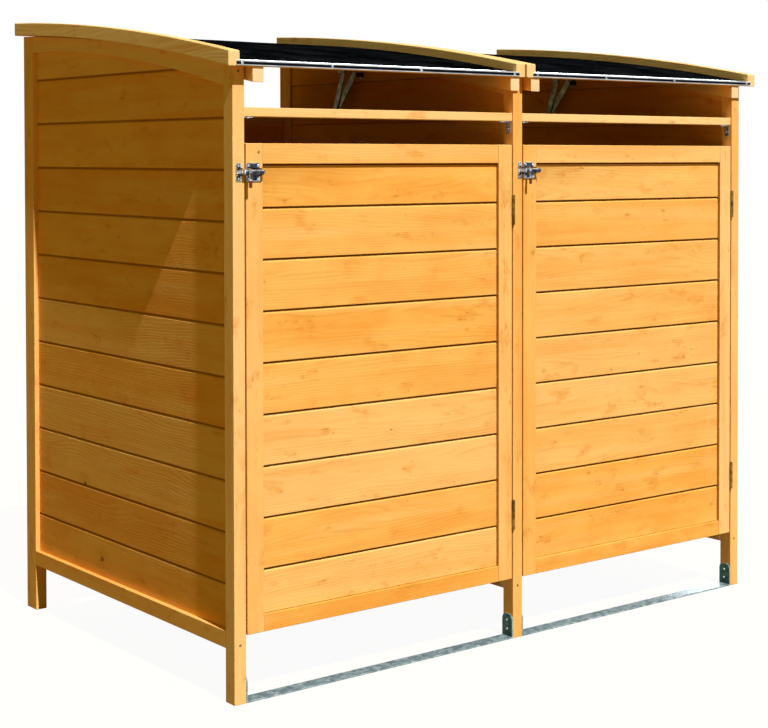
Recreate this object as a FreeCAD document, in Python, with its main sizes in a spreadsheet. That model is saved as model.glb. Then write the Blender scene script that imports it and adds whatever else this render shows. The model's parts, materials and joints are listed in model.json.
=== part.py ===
import FreeCAD, Part
import math
import os

# Double wheelie bin store in glazed softwood: three boarded side frames, a boarded back,
# two doors hung on their right edges, and two curved lids hinged along the back.
# Millimetres, +Z up, +X to the right seen from the front, the doors face -Y.
# The origin is on the ground, under the middle of the store's box.

DIMENSIONS = (
    # side frames
    ("post_wide", 25, "thickness of a side frame and of every post"),
    ("post_deep", 32, "depth of a post"),
    ("frame_deep", 880, "side frame, front face to back face"),
    ("bay_wide", 645, "clear width between two side frames"),
    ("eaves_height", 1175.5, "underside of the lids at the front face"),
    ("back_height", 1275, "underside of the lids at the back face"),
    ("arch_radius", 7000, "radius of the lids' underside"),
    ("lid_play", 1, "gap between the frames' tops and the lids"),
    ("arched_rail_deep", 38, "depth of the arched top rail at its ends"),
    ("arched_rail_radius", 4000, "radius of the arched rail's lower edge"),
    ("bottom_rail_low", 100, "underside of the bottom rails"),
    ("bottom_rail_high", 32, "height of the bottom rails"),
    # boards
    ("board_pitch", 96, "from one board to the next"),
    ("board_thick", 10, "board thickness"),
    ("board_gap", 1.5, "open joint between two boards"),
    ("board_lap", 6, "height of the lap behind the joint"),
    ("board_bevel", 2.5, "bevel along the board's front edges"),
    ("side_board_start", 119, "where the side boards are set out from"),
    ("side_board_recess", 10, "outer face of a side frame to its boards"),
    # back
    ("upright_deep", 14, "back uprights, rails and board recess together"),
    ("back_panel_drop", 160, "lids' underside at the back face to the back panel's top"),
    ("back_rail_high", 32, "height of the back panel's rails"),
    ("back_board_recess", 2, "back face to the back boards"),
    ("hinge_rail_deep", 32, "rail that carries the lid hinges"),
    ("hinge_rail_high", 32, "its height"),
    # front rails and their brackets
    ("front_rail_drop", 94.5, "lids' underside at the front face to the front rail's underside"),
    ("front_rail_high", 17, "height of the front rail"),
    ("front_rail_deep", 32, "depth of the front rail"),
    ("front_rail_recess", 3, "front face to the front rail"),
    ("bracket_leg", 26, "each leg of the rail bracket"),
    ("bracket_wide", 14, "width of the rail bracket"),
    ("bracket_thick", 2, "thickness of the rail bracket"),
    ("bracket_recess", 5, "front rail's face to the bracket"),
    # threshold bars
    ("threshold_thick", 3, "flat bar on the ground"),
    ("threshold_leg", 50, "height of its turned-up ends"),
    ("threshold_corner", 12, "rounding of the turned-up ends"),
    # doors
    ("door_bottom", 126, "underside of the doors"),
    ("door_top_gap", 49, "front rail's underside to the doors' top"),
    ("door_thick", 20, "thickness of the door frame"),
    ("stile_wide", 36, "width of a door stile"),
    ("top_rail_high", 38, "door's top rail"),
    ("low_rail_high", 32, "door's bottom rail"),
    ("door_board_start", 144, "where the door boards are set out from"),
    ("door_board_recess", 7, "door's front face to its boards"),
    # butt hinges of the doors and the lids
    ("hinge_high", 62, "length of a hinge"),
    ("leaf_wide", 17, "hinge leaf, past the knuckle"),
    ("leaf_thick", 1.3, "thickness of a hinge leaf"),
    ("leaf_play", 0.4, "between the two leaves, closed"),
    ("knuckle_radius", 3.2, "hinge knuckle"),
    ("knuckle_play", 0.3, "between two knuckles, along the pin"),
    ("pin_radius", 1.6, "hinge pin"),
    ("pin_play", 0.05, "round the hinge pin"),
    ("door_hinge_rise", 104, "door's underside to the foot of its lower hinge"),
    ("door_hinge_drop", 166, "door's top to the foot of its upper hinge"),
    ("lid_hinge_inset", 70, "bay side to the lid hinge"),
    # slide bolts
    ("latch_drop", 53, "door's top to the bolt's centre line"),
    ("bolt_radius", 5.5, "bolt"),
    ("bolt_long", 46, "length of the bolt"),
    ("bolt_proud", 9, "door's face to the bolt's centre line"),
    ("bolt_play", 0.1, "round the bolt in its case"),
    ("bolt_start", 0.8, "keeper to the drawn bolt's tip"),
    ("plate_thick", 1.5, "keeper plate and bolt case plate"),
    ("plate_high", 34, "their height"),
    ("keeper_wide", 11, "width of the keeper"),
    ("keeper_left", 6, "left post's side to the left keeper"),
    ("keeper_right", 12, "middle post's side to the right keeper"),
    ("keeper_play", 0.3, "round the bolt in its keeper"),
    ("strap_thick", 1.5, "wall of the keeper and the case cover"),
    ("case_inset", 0.5, "door's edge to the bolt case"),
    ("case_wide", 28.5, "width of the bolt case"),
    ("collar_start", 8.5, "bolt's tip to the handle's collar"),
    ("collar_wide", 5.5, "width of the collar"),
    ("collar_radius", 7, "outside of the collar"),
    ("collar_play", 0.06, "round the bolt in the collar"),
    ("cover_start", 19.5, "bolt's tip to the case cover"),
    ("lever_long", 26, "bolt's centre line to the middle of the lever's tip"),
    ("lever_wide", 6, "width of the lever"),
    ("lever_thick", 2.6, "thickness of the lever"),
    ("lever_slant", 1, "lean of the lever to the right, degrees"),
    # lids
    ("lid_front", 27, "front face to the lid's front end"),
    ("lid_back", 6, "back face to the lid's back end"),
    ("lid_gap", 5, "between the two lids"),
    ("barge_wide", 24, "width of a barge"),
    ("barge_high", 28, "height of a barge"),
    ("rib_wide", 23.5, "width of a rib"),
    ("rib_high", 28, "height of a rib"),
    ("rib_play", 3.3, "side frame to the rib"),
    ("rib_front", 24, "front face to the rib's front end"),
    ("rib_back", 4, "hinge rail to the rib's back end"),
    ("batten_thick", 8, "thickness of a batten"),
    ("batten_deep", 42, "depth of a batten"),
    ("sheet_thick", 2, "roof sheet"),
    ("trim_thick", 1.2, "metal edge trim"),
    ("trim_leg", 10, "its leg on the sheet"),
    ("trim_show", 2, "batten left showing under the trim"),
    ("trim_lap", 8, "trim's lap over the barge's end"),
    ("trim_screw_first", 4, "left barge's inner side to the first trim screw"),
    ("trim_screw_last", 6, "last trim screw to the right barge's inner side"),
    # lid stays
    ("stay_frame_back", 550, "front face to the pivot on the frame"),
    ("stay_frame_drop", 53.5, "lids' underside to that pivot"),
    ("stay_lid_back", 586, "front face to the pivot on the lid"),
    ("stay_lid_drop", 40.8, "lids' underside to that pivot"),
    ("stay_elbow_back", 628, "front face to the folded elbow"),
    ("stay_elbow_drop", 89, "pivot on the frame down to the elbow"),
    ("arm_wide", 16, "width of a stay arm"),
    ("arm_thick", 2, "thickness of a stay arm"),
    ("arm_gap", 0.6, "between the two arms"),
    ("frame_arm_inset", 15.4, "side frame's face to the frame arm"),
    ("stud_radius", 3, "pivot studs of the stay"),
    ("stud_play", 0.08, "round the pivot studs"),
    ("stud_head", 1.2, "rivet head past the arm"),
    ("stud_head_radius", 5, "radius of the rivet head"),
    ("flange_radius", 9, "round foot of the frame's pivot stud"),
    ("flange_thick", 2, "its thickness"),
    ("stay_plate_thick", 2, "plate on the lid's rib"),
    ("stay_plate_wide", 22, "its width"),
    # screws
    ("screw_head_radius", 2.8, "screw head"),
    ("screw_head_high", 1.2, "its height"),
    ("screw_radius", 1.5, "screw shank"),
    ("screw_long", 14, "length of the shank"),
    ("batten_screw_long", 6, "length of the shank in the rear batten"),
    ("screw_hole_play", 0.1, "round the shank in a metal plate"),
    ("post_screw_drop", 12, "lids' underside at the front face to a post's upper screw"),
)

# places worked out from the sizes above
PLACES = (
    ("store_deep", "dims.frame_deep + dims.upright_deep"),
    ("front_reach", "dims.lid_front + dims.trim_thick + dims.screw_head_high"),
    ("pivot_behind", "dims.knuckle_radius + dims.knuckle_play"),
    ("back_reach", "at.store_deep + at.pivot_behind + dims.knuckle_radius"),
    ("front", "(at.front_reach - at.back_reach) / 2"),
    ("back", "at.front + at.store_deep"),
    ("left_frame", "-1.5 * dims.post_wide - dims.bay_wide"),
    ("middle_frame", "-0.5 * dims.post_wide"),
    ("right_frame", "0.5 * dims.post_wide + dims.bay_wide"),
    ("left_bay", "at.left_frame + dims.post_wide"),
    ("right_bay", "at.middle_frame + dims.post_wide"),
    ("rise", "dims.back_height - dims.eaves_height"),
    ("chord", "sqrt(at.store_deep ^ 2 + at.rise ^ 2)"),
    ("drop", "sqrt(dims.arch_radius ^ 2 - at.chord ^ 2 / 4)"),
    ("arch_y", "at.front + at.store_deep / 2 + at.drop * at.rise / at.chord"),
    ("arch_z", "dims.eaves_height + at.rise / 2 - at.drop * at.store_deep / at.chord"),
    ("span", "dims.frame_deep - 2 * dims.post_deep"),
    ("low_chord", "sqrt(at.span ^ 2 + at.rise ^ 2)"),
    ("low_drop", "sqrt(dims.arched_rail_radius ^ 2 - at.low_chord ^ 2 / 4)"),
    ("low_arch_y", "at.front + dims.frame_deep / 2 + at.low_drop * at.rise / at.low_chord"),
    ("low_arch_z", "dims.eaves_height + at.rise / 2 - dims.arched_rail_deep"
                   " - at.low_drop * at.span / at.low_chord"),
    ("side_boards_low", "dims.bottom_rail_low + dims.bottom_rail_high"),
    ("tall", "dims.back_height + dims.eaves_height"),
    ("back_panel_top", "dims.back_height - dims.back_panel_drop"),
    ("front_rail_low", "dims.eaves_height - dims.front_rail_drop"),
    ("door_gap", "2 * dims.leaf_thick + dims.leaf_play"),
    ("door_wide", "dims.bay_wide - 2 * at.door_gap"),
    ("door_top", "at.front_rail_low - dims.door_top_gap"),
    ("door_high", "at.door_top - dims.door_bottom"),
    ("door_hinge_low", "dims.door_bottom + dims.door_hinge_rise"),
    ("door_hinge_up", "at.door_top - dims.door_hinge_drop"),
    ("latch_height", "at.door_top - dims.latch_drop"),
    ("door_boards_low", "dims.door_bottom + dims.low_rail_high"),
    ("door_boards_high", "at.door_high - dims.low_rail_high - dims.top_rail_high"),
    ("door_boards_wide", "at.door_wide - 2 * dims.stile_wide"),
    ("door_pivot", "at.front - dims.knuckle_radius"),
    ("bolt_y", "at.front - dims.bolt_proud"),
    ("strap_radius", "dims.bolt_radius + dims.keeper_play + dims.strap_thick"),
    ("lid_half", "dims.bay_wide + 1.5 * dims.post_wide + dims.barge_wide"),
    ("lid_wide", "at.lid_half - dims.lid_gap / 2"),
    ("deck_wide", "at.lid_wide - 2 * dims.barge_wide"),
    ("lid_deep", "dims.lid_front + at.store_deep - dims.lid_back"),
    ("lid_start", "at.front - dims.lid_front"),
    ("lid_end", "at.back - dims.lid_back"),
    ("left_deck", "-at.lid_half + dims.barge_wide"),
    ("right_deck", "dims.lid_gap / 2 + dims.barge_wide"),
    ("lid_pivot_y", "at.back + at.pivot_behind"),
    ("hinge_rail_top", "dims.back_height - at.door_gap"),
    ("lid_pivot_z", "at.hinge_rail_top + at.door_gap / 2"),
    ("hinge_rail_front", "at.back - dims.hinge_rail_deep"),
    ("rib_long", "at.hinge_rail_front - dims.rib_back - at.front + dims.rib_front"),
    ("board_inner", "dims.post_wide - dims.side_board_recess - dims.board_thick"),
    ("stay_frame_y", "at.front + dims.stay_frame_back"),
    ("stay_lid_y", "at.front + dims.stay_lid_back"),
    ("stay_frame_z", "at.arch_z + sqrt(dims.arch_radius ^ 2 - (at.stay_frame_y - at.arch_y) ^ 2)"
                     " - dims.stay_frame_drop"),
    ("stay_lid_z", "at.arch_z + sqrt(dims.arch_radius ^ 2 - (at.stay_lid_y - at.arch_y) ^ 2)"
                   " - dims.stay_lid_drop"),
    ("frame_arm_x", "-dims.frame_arm_inset - dims.arm_thick"),
    ("lid_arm_x", "at.frame_arm_x - dims.arm_gap - dims.arm_thick"),
)

doc = FreeCAD.newDocument("wheelie_bin_store")
sheet = doc.addObject("Spreadsheet::Sheet", "dims")
for row, (alias, number, meaning) in enumerate(DIMENSIONS, start=1):
    sheet.set("A%d" % row, alias)
    sheet.set("B%d" % row, str(number))
    sheet.set("C%d" % row, meaning)
    sheet.setAlias("B%d" % row, alias)
doc.recompute()

at = doc.addObject("App::VarSet", "at")
for name, expression in PLACES:
    at.addProperty("App::PropertyFloat", name)
    at.setExpression(name, expression)
    doc.recompute()

nodes = []


def keep(piece):
    """Mark a finished sub-part, which is written to its own file."""
    nodes.append(piece)
    return piece


def place(piece, corner, turn=None):
    """Put a piece at a corner given as three expressions, with a fixed turn."""
    if turn is not None:
        piece.Placement = FreeCAD.Placement(FreeCAD.Vector(), turn)
    for axis, expression in zip("xyz", corner):
        piece.setExpression("Placement.Base." + axis, expression)
    return piece


def box(name, size, corner):
    piece = doc.addObject("Part::Box", name)
    for side, expression in zip(("Length", "Width", "Height"), size):
        piece.setExpression(side, expression)
    return place(piece, corner)


ALONG = {
    "x": FreeCAD.Rotation(FreeCAD.Vector(0, 1, 0), 90),
    "-x": FreeCAD.Rotation(FreeCAD.Vector(0, 1, 0), -90),
    "y": FreeCAD.Rotation(FreeCAD.Vector(1, 0, 0), -90),
    "-y": FreeCAD.Rotation(FreeCAD.Vector(1, 0, 0), 90),
    "z": FreeCAD.Rotation(),
    "-z": FreeCAD.Rotation(FreeCAD.Vector(1, 0, 0), 180),
}


def rod(name, radius, long, start, axis):
    """A cylinder from a start point along an axis."""
    piece = doc.addObject("Part::Cylinder", name)
    piece.setExpression("Radius", radius)
    piece.setExpression("Height", long)
    return place(piece, start, ALONG[axis])


def fuse(name, *pieces):
    piece = doc.addObject("Part::MultiFuse", name)
    piece.Shapes = list(pieces)
    return piece


def group(name, pieces):
    """Separate solids that share one sub-part."""
    piece = doc.addObject("Part::Compound", name)
    piece.Links = list(pieces)
    return piece


def cut(name, base, *tools):
    piece = doc.addObject("Part::Cut", name)
    piece.Base = base
    piece.Tool = tools[0] if len(tools) == 1 else group(name + "_tools", tools)
    return piece


def common(name, base, tool):
    piece = doc.addObject("Part::Common", name)
    piece.Base = base
    piece.Tool = tool
    return piece


def under_arch(name, radius, x, wide, low=False):
    """Everything below the lids' curve, or below the arched rail's lower edge."""
    centre = ("at.low_arch_y", "at.low_arch_z") if low else ("at.arch_y", "at.arch_z")
    return rod(name, radius, wide, (x,) + centre, "x")


def curved(name, x, wide, y, long, low, high):
    """A timber or sheet that follows the lids' curve between two offsets from it."""
    block = box(name + "_block", (wide, long, "at.tall"), (x, y, "0"))
    outer = under_arch(name + "_outer", "dims.arch_radius + " + high, x, wide)
    inner = under_arch(name + "_inner", "dims.arch_radius + " + low, x, wide)
    return cut(name, common(name + "_below", block, outer), inner)


# Boards

FACE_FRONT = FreeCAD.Rotation()
FACE_BACK = FreeCAD.Rotation(FreeCAD.Vector(0, 0, 1), 180)
FACE_LEFT = FreeCAD.Rotation(FreeCAD.Vector(0, 0, 1), -90)
FACE_RIGHT = FreeCAD.Rotation(FreeCAD.Vector(0, 0, 1), 90)


def board(name, long, start, number):
    """One lapped board with bevelled edges, lying along +X with its face towards -Y."""
    foot = "%s + %d * dims.board_pitch" % (start, number)
    face = doc.addObject("Part::Wedge", name + "_face")
    face_high = "dims.board_pitch - dims.board_gap"
    limits = {
        "Xmin": "0", "X2min": "0", "Xmax": long, "X2max": long,
        "Ymin": "0", "Ymax": "dims.board_bevel",
        "Zmin": "dims.board_bevel", "Z2min": "0",
        "Zmax": face_high + " - dims.board_bevel", "Z2max": face_high,
    }
    face.Zmax = sheet.board_pitch
    face.Z2max = sheet.board_pitch
    for limit, expression in limits.items():
        face.setExpression(limit, expression)
    place(face, ("0", "0", foot))
    half = "dims.board_thick / 2"
    front = box(name + "_front", (long, half + " - dims.board_bevel", face_high),
                ("0", "dims.board_bevel", foot))
    lap = box(name + "_lap", (long, half, face_high), ("0", half, foot + " + dims.board_lap"))
    return fuse(name, face, front, lap)


def board_count(start, top):
    """How many boards reach from the setting-out height to past the top."""
    return math.ceil((top - start) / float(sheet.board_pitch))


def boards(name, long, start, top, corner, turn, window):
    """A run of boards, trimmed to the opening that they fill."""
    count = board_count(float(sheet.get(start.split(".")[1])), top) + 1
    run = group(name + "_run", [board("%s_%d" % (name, i), long, start, i - 1) for i in range(1, count + 1)])
    place(run, corner, turn)
    return common(name, run, window)


# Screws

def screw(name, point, axis):
    """A pan-head screw: its head stands on the point, its shank runs along the axis."""
    back = {"x": "-x", "-x": "x", "y": "-y", "-y": "y", "z": "-z", "-z": "z"}[axis]
    head = rod(name + "_head", "dims.screw_head_radius", "dims.screw_head_high", point, back)
    shank = rod(name + "_shank", "dims.screw_radius", "dims.screw_long", point, axis)
    return fuse(name, head, shank)


def sunk_screw(name, point, axis, long):
    """A countersunk screw, its head flush in a hinge leaf or a post."""
    head = rod(name + "_head", "dims.screw_head_radius", "dims.leaf_thick", point, axis)
    shank = rod(name + "_shank", "dims.screw_radius", long, point, axis)
    return fuse(name, head, shank)


def screw_hole(name, point, axis, deep):
    """The hole that a screw's shank passes in a metal plate."""
    return rod(name, "dims.screw_radius + dims.screw_hole_play", deep, point, axis)


frame_screws = []


# Side frames

def side_frame(name, x, board_face, face_turn):
    """Two posts, a bottom rail, an arched top rail and the boards between them."""
    below = under_arch(name + "_roof_line", "dims.arch_radius - dims.lid_play", x, "dims.post_wide")
    post_size = ("dims.post_wide", "dims.post_deep", "at.tall")
    behind = "at.front + dims.frame_deep - dims.post_deep"
    front_post = box(name + "_front_blank", post_size, (x, "at.front", "0"))
    back_post = box(name + "_back_blank", post_size, (x, behind, "0"))
    keep(common(name + "_front_post", front_post, below))
    keep(common(name + "_back_post", back_post, below))
    inside = "at.front + dims.post_deep"
    keep(box(name + "_bottom_rail", ("dims.post_wide", "at.span", "dims.bottom_rail_high"),
             (x, inside, "dims.bottom_rail_low")))
    blank = box(name + "_arch_blank", ("dims.post_wide", "at.span", "at.tall"), (x, inside, "0"))
    under = under_arch(name + "_arch_under", "dims.arched_rail_radius", x, "dims.post_wide", low=True)
    keep(cut(name + "_arched_rail", common(name + "_arch_top", blank, below), under))
    window_blank = box(name + "_window_blank",
                       ("dims.post_wide", "at.span", "at.tall"),
                       (x, inside, "at.side_boards_low"))
    window = common(name + "_window", window_blank, under)
    keep(boards(name + "_side_boards", "at.span", "dims.side_board_start", max(float(sheet.back_height), float(sheet.eaves_height)),
                (board_face, inside if face_turn is FACE_RIGHT else behind, "0"), face_turn, window))
    for level, height in (("low", "dims.bottom_rail_low + dims.bottom_rail_high * 0.3"),
                          ("high", "dims.eaves_height - dims.post_screw_drop")):
        frame_screws.append(sunk_screw("%s_post_screw_%s" % (name, level),
                                       (x + " + dims.post_wide / 2", "at.front", height), "y",
                                       "dims.screw_long"))


side_frame("left", "at.left_frame", "at.left_frame + dims.side_board_recess", FACE_LEFT)
side_frame("middle", "at.middle_frame", "at.right_bay - dims.side_board_recess", FACE_RIGHT)
side_frame("right", "at.right_frame", "at.right_frame + dims.post_wide - dims.side_board_recess",
           FACE_RIGHT)


# Back: uprights behind the posts, and a boarded panel and a hinge rail in each bay

back_face = "at.front + dims.frame_deep"
roof_line = under_arch("upright_roof_line", "dims.arch_radius - dims.lid_play", "at.left_frame",
                       "at.right_frame - at.left_frame + dims.post_wide")
uprights = [
    box("upright_blank_" + name, ("dims.post_wide", "dims.upright_deep", "at.tall"), (x, back_face, "0"))
    for name, x in (("left", "at.left_frame"), ("middle", "at.middle_frame"), ("right", "at.right_frame"))
]
keep(common("back_uprights", group("upright_blanks", uprights), roof_line))

back_rails = []
back_runs = []
hinge_rails = []
back_boards_low = "dims.bottom_rail_low + dims.back_rail_high"
for side, bay in (("left", "at.left_bay"), ("right", "at.right_bay")):
    for level, height in (("low", "dims.bottom_rail_low"), ("top", "at.back_panel_top - dims.back_rail_high")):
        back_rails.append(box("%s_back_rail_%s" % (side, level),
                              ("dims.bay_wide", "dims.upright_deep", "dims.back_rail_high"),
                              (bay, back_face, height)))
    window = box(side + "_back_window",
                 ("dims.bay_wide", "dims.upright_deep", "at.back_panel_top - dims.back_rail_high - ("
                  + back_boards_low + ")"), (bay, back_face, back_boards_low))
    back_runs.append(boards(side + "_back_run", "dims.bay_wide", "dims.side_board_start",
                            at.back_panel_top,
                            (bay + " + dims.bay_wide", "at.back - dims.back_board_recess", "0"),
                            FACE_BACK, window))
    hinge_rails.append(box(side + "_hinge_rail", ("dims.bay_wide", "dims.hinge_rail_deep",
                                                  "dims.hinge_rail_high"),
                           (bay, "at.hinge_rail_front", "at.hinge_rail_top - dims.hinge_rail_high")))
keep(group("back_panel_rails", back_rails))
keep(group("back_boards", back_runs))
keep(group("hinge_rails", hinge_rails))


# Front rails on angle brackets, and threshold bars

def bracket(name, post_face, inward):
    """An angle bracket under a front rail's end; inward is + or - along X."""
    sign = "+" if inward > 0 else "-"
    y = "at.front + dims.front_rail_recess + dims.bracket_recess"
    leg_x = post_face if inward > 0 else post_face + " - dims.bracket_leg"
    wall_x = post_face if inward > 0 else post_face + " - dims.bracket_thick"
    shelf = box(name + "_shelf", ("dims.bracket_leg", "dims.bracket_wide", "dims.bracket_thick"),
                (leg_x, y, "at.front_rail_low - dims.bracket_thick"))
    wall = box(name + "_wall", ("dims.bracket_thick", "dims.bracket_wide", "dims.bracket_leg"),
               (wall_x, y, "at.front_rail_low - dims.bracket_leg"))
    across = y + " + dims.bracket_wide / 2"
    out = "dims.bracket_leg * 0.62"
    shelf_point = ("%s %s %s" % (post_face, sign, out), across, "at.front_rail_low - dims.bracket_thick")
    wall_point = ("%s %s dims.bracket_thick" % (post_face, sign), across,
                  "at.front_rail_low - " + out)
    wall_axis = "-x" if inward > 0 else "x"
    frame_screws.append(screw(name + "_screw_up", shelf_point, "z"))
    frame_screws.append(screw(name + "_screw_side", wall_point, wall_axis))
    return cut(name, fuse(name + "_angle", shelf, wall),
               screw_hole(name + "_hole_up", shelf_point, "z", "dims.bracket_thick"),
               screw_hole(name + "_hole_side", wall_point, wall_axis, "dims.bracket_thick"))


def rounded_leg(name, x):
    """A turned-up end of the threshold bar, its two upper corners rounded."""
    lower = box(name + "_low", ("dims.threshold_thick", "dims.post_deep",
                                "dims.threshold_leg - dims.threshold_corner"), (x, "at.front", "0"))
    upper = box(name + "_up", ("dims.threshold_thick", "dims.post_deep - 2 * dims.threshold_corner",
                               "dims.threshold_leg"), (x, "at.front + dims.threshold_corner", "0"))
    turn_up = "dims.threshold_leg - dims.threshold_corner"
    front_round = rod(name + "_front_round", "dims.threshold_corner", "dims.threshold_thick",
                      (x, "at.front + dims.threshold_corner", turn_up), "x")
    back_round = rod(name + "_back_round", "dims.threshold_corner", "dims.threshold_thick",
                     (x, "at.front + dims.post_deep - dims.threshold_corner", turn_up), "x")
    return fuse(name, lower, upper, front_round, back_round)


def threshold(name, bay):
    """A flat bar on the ground, turned up at both ends and screwed to the posts."""
    bar = box(name + "_bar", ("dims.bay_wide", "dims.post_deep", "dims.threshold_thick"),
              (bay, "at.front", "0"))
    far = bay + " + dims.bay_wide"
    legs = [rounded_leg(name + "_left_leg", bay),
            rounded_leg(name + "_right_leg", far + " - dims.threshold_thick")]
    holes = []
    across = "at.front + dims.post_deep / 2"
    for end, surface, axis in (("left", bay + " + dims.threshold_thick", "-x"),
                               ("right", far + " - dims.threshold_thick", "x")):
        for level, share in (("low", "0.36"), ("high", "0.74")):
            point = (surface, across, "dims.threshold_leg * " + share)
            label = "%s_%s_%s" % (name, end, level)
            frame_screws.append(screw(label + "_screw", point, axis))
            holes.append(screw_hole(label + "_hole", point, axis, "dims.threshold_thick"))
    return cut(name, fuse(name + "_blank", bar, *legs), *holes)


front_rails = []
brackets = []
thresholds = []
for side, bay in (("left", "at.left_bay"), ("right", "at.right_bay")):
    front_rails.append(box(side + "_front_rail", ("dims.bay_wide", "dims.front_rail_deep",
                                                  "dims.front_rail_high"),
                           (bay, "at.front + dims.front_rail_recess", "at.front_rail_low")))
    brackets.append(bracket(side + "_bracket_a", bay, 1))
    brackets.append(bracket(side + "_bracket_b", bay + " + dims.bay_wide", -1))
    thresholds.append(threshold(side + "_threshold", bay))
keep(group("front_rails", front_rails))
keep(group("rail_brackets", brackets))
keep(group("thresholds", thresholds))


# Butt hinges, made round their pin along +Z, with the fixed leaf on the +X side

HINGE_UPRIGHT = FreeCAD.Rotation()
HINGE_LYING = FreeCAD.Rotation(FreeCAD.Vector(0, 0, -1), FreeCAD.Vector(0, -1, 0),
                               FreeCAD.Vector(-1, 0, 0), "XYZ")
KNUCKLES = 5
LEAF_SCREWS = 3


def leaf(name, fixed, screw_long):
    """One leaf with its knuckles; the fixed leaf holds the pin, the other turns on it."""
    side = "dims.leaf_play / 2" if fixed else "-dims.leaf_play / 2 - dims.leaf_thick"
    pieces = [box(name + "_plate", ("dims.leaf_thick", "dims.leaf_wide", "dims.hinge_high"),
                  (side, "dims.knuckle_radius + dims.knuckle_play", "0"))]
    pitch = "dims.hinge_high / %d" % KNUCKLES
    for number in range(0 if fixed else 1, KNUCKLES, 2):
        foot = "%d * %s + dims.knuckle_play / 2" % (number, pitch)
        high = pitch + " - dims.knuckle_play"
        pieces.append(rod("%s_knuckle_%d" % (name, number), "dims.knuckle_radius", high,
                          ("0", "0", foot), "z"))
        pieces.append(box("%s_web_%d" % (name, number),
                          ("dims.leaf_thick", "dims.knuckle_radius + 2 * dims.knuckle_play", high),
                          (side, "0", foot)))
    pin_radius = "dims.pin_radius" if fixed else "dims.pin_radius + dims.pin_play"
    pin = rod(name + "_pin", pin_radius, "dims.hinge_high", ("0", "0", "0"), "z")
    seat = "dims.leaf_play / 2" if fixed else "-dims.leaf_play / 2"
    axis = "x" if fixed else "-x"
    across = "dims.knuckle_radius + dims.knuckle_play + dims.leaf_wide * 0.55"
    points = [(seat, across, "dims.hinge_high * %d / %d" % (2 * i + 1, 2 * LEAF_SCREWS))
              for i in range(LEAF_SCREWS)]
    holes = [rod("%s_hole_%d" % (name, i), "dims.screw_head_radius", "dims.leaf_thick", point, axis)
             for i, point in enumerate(points)]
    screws = [sunk_screw("%s_screw_%d" % (name, i), point, axis, screw_long)
              for i, point in enumerate(points)]
    if fixed:
        return cut(name + "_leaf", fuse(name + "_blank", *(pieces + [pin])), *holes), screws
    return cut(name + "_leaf", fuse(name + "_blank", *pieces), pin, *holes), screws


def hinge(name, pivot, turn, moving_screw_long):
    """A whole hinge at its pivot: the fixed leaf, its screws, and the moving leaf with its own."""
    fixed_leaf, fixed_screws = leaf(name + "_fixed", True, "dims.screw_long")
    moving_leaf, moving_screws = leaf(name + "_moving", False, moving_screw_long)
    screws = place(group(name + "_fixed_screws", fixed_screws), pivot, turn)
    moving = place(group(name + "_moving_set", [moving_leaf] + moving_screws), pivot, turn)
    return place(fixed_leaf, pivot, turn), screws, moving


hinge_frame_leaves = []


# Doors

def door(side, bay):
    """A framed and boarded door with its hinge leaves."""
    x = bay + " + at.door_gap"
    far = x + " + at.door_wide"
    stile = ("dims.stile_wide", "dims.door_thick", "at.door_high")
    keep(group(side + "_door_stiles", [
        box(side + "_stile_a", stile, (x, "at.front", "dims.door_bottom")),
        box(side + "_stile_b", stile, (far + " - dims.stile_wide", "at.front", "dims.door_bottom")),
    ]))
    inner = x + " + dims.stile_wide"
    keep(box(side + "_door_top_rail", ("at.door_boards_wide", "dims.door_thick", "dims.top_rail_high"),
             (inner, "at.front", "at.door_top - dims.top_rail_high")))
    keep(box(side + "_door_bottom_rail", ("at.door_boards_wide", "dims.door_thick", "dims.low_rail_high"),
             (inner, "at.front", "dims.door_bottom")))
    window = box(side + "_door_window", ("at.door_boards_wide", "dims.door_thick", "at.door_boards_high"),
                 (inner, "at.front", "at.door_boards_low"))
    keep(boards(side + "_door_boards", "at.door_boards_wide", "dims.door_board_start",
                at.door_top, (inner, "at.front + dims.door_board_recess", "0"), FACE_FRONT, window))
    moving = []
    for level, foot in (("low", "at.door_hinge_low"), ("up", "at.door_hinge_up")):
        fixed, screws, leaf_set = hinge("%s_door_hinge_%s" % (side, level),
                                        (far + " + at.door_gap / 2", "at.door_pivot", foot),
                                        HINGE_UPRIGHT, "dims.screw_long")
        hinge_frame_leaves.append(fixed)
        frame_screws.append(screws)
        moving.append(leaf_set)
    keep(group(side + "_door_hinge_leaves", moving))


# Slide bolts

def strap(name, x, wide, bore):
    """A rounded strap round the bolt, from its plate out, with the bore through it."""
    tube = rod(name + "_tube", "at.strap_radius", wide, (x, "at.bolt_y", "at.latch_height"), "x")
    cheeks = box(name + "_cheeks", (wide, "dims.bolt_proud - dims.plate_thick", "2 * at.strap_radius"),
                 (x, "at.bolt_y", "at.latch_height - at.strap_radius"))
    hollow = rod(name + "_bore", bore, wide, (x, "at.bolt_y", "at.latch_height"), "x")
    throat = box(name + "_throat", (wide, "dims.bolt_proud - dims.plate_thick", "2 * (" + bore + ")"),
                 (x, "at.bolt_y", "at.latch_height - (" + bore + ")"))
    return cut(name, fuse(name + "_solid", tube, cheeks), fuse(name + "_hollow", hollow, throat))


def plate(name, x, wide):
    return box(name, (wide, "dims.plate_thick", "dims.plate_high"),
               (x, "at.front - dims.plate_thick", "at.latch_height - dims.plate_high / 2"))


keepers = []


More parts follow.
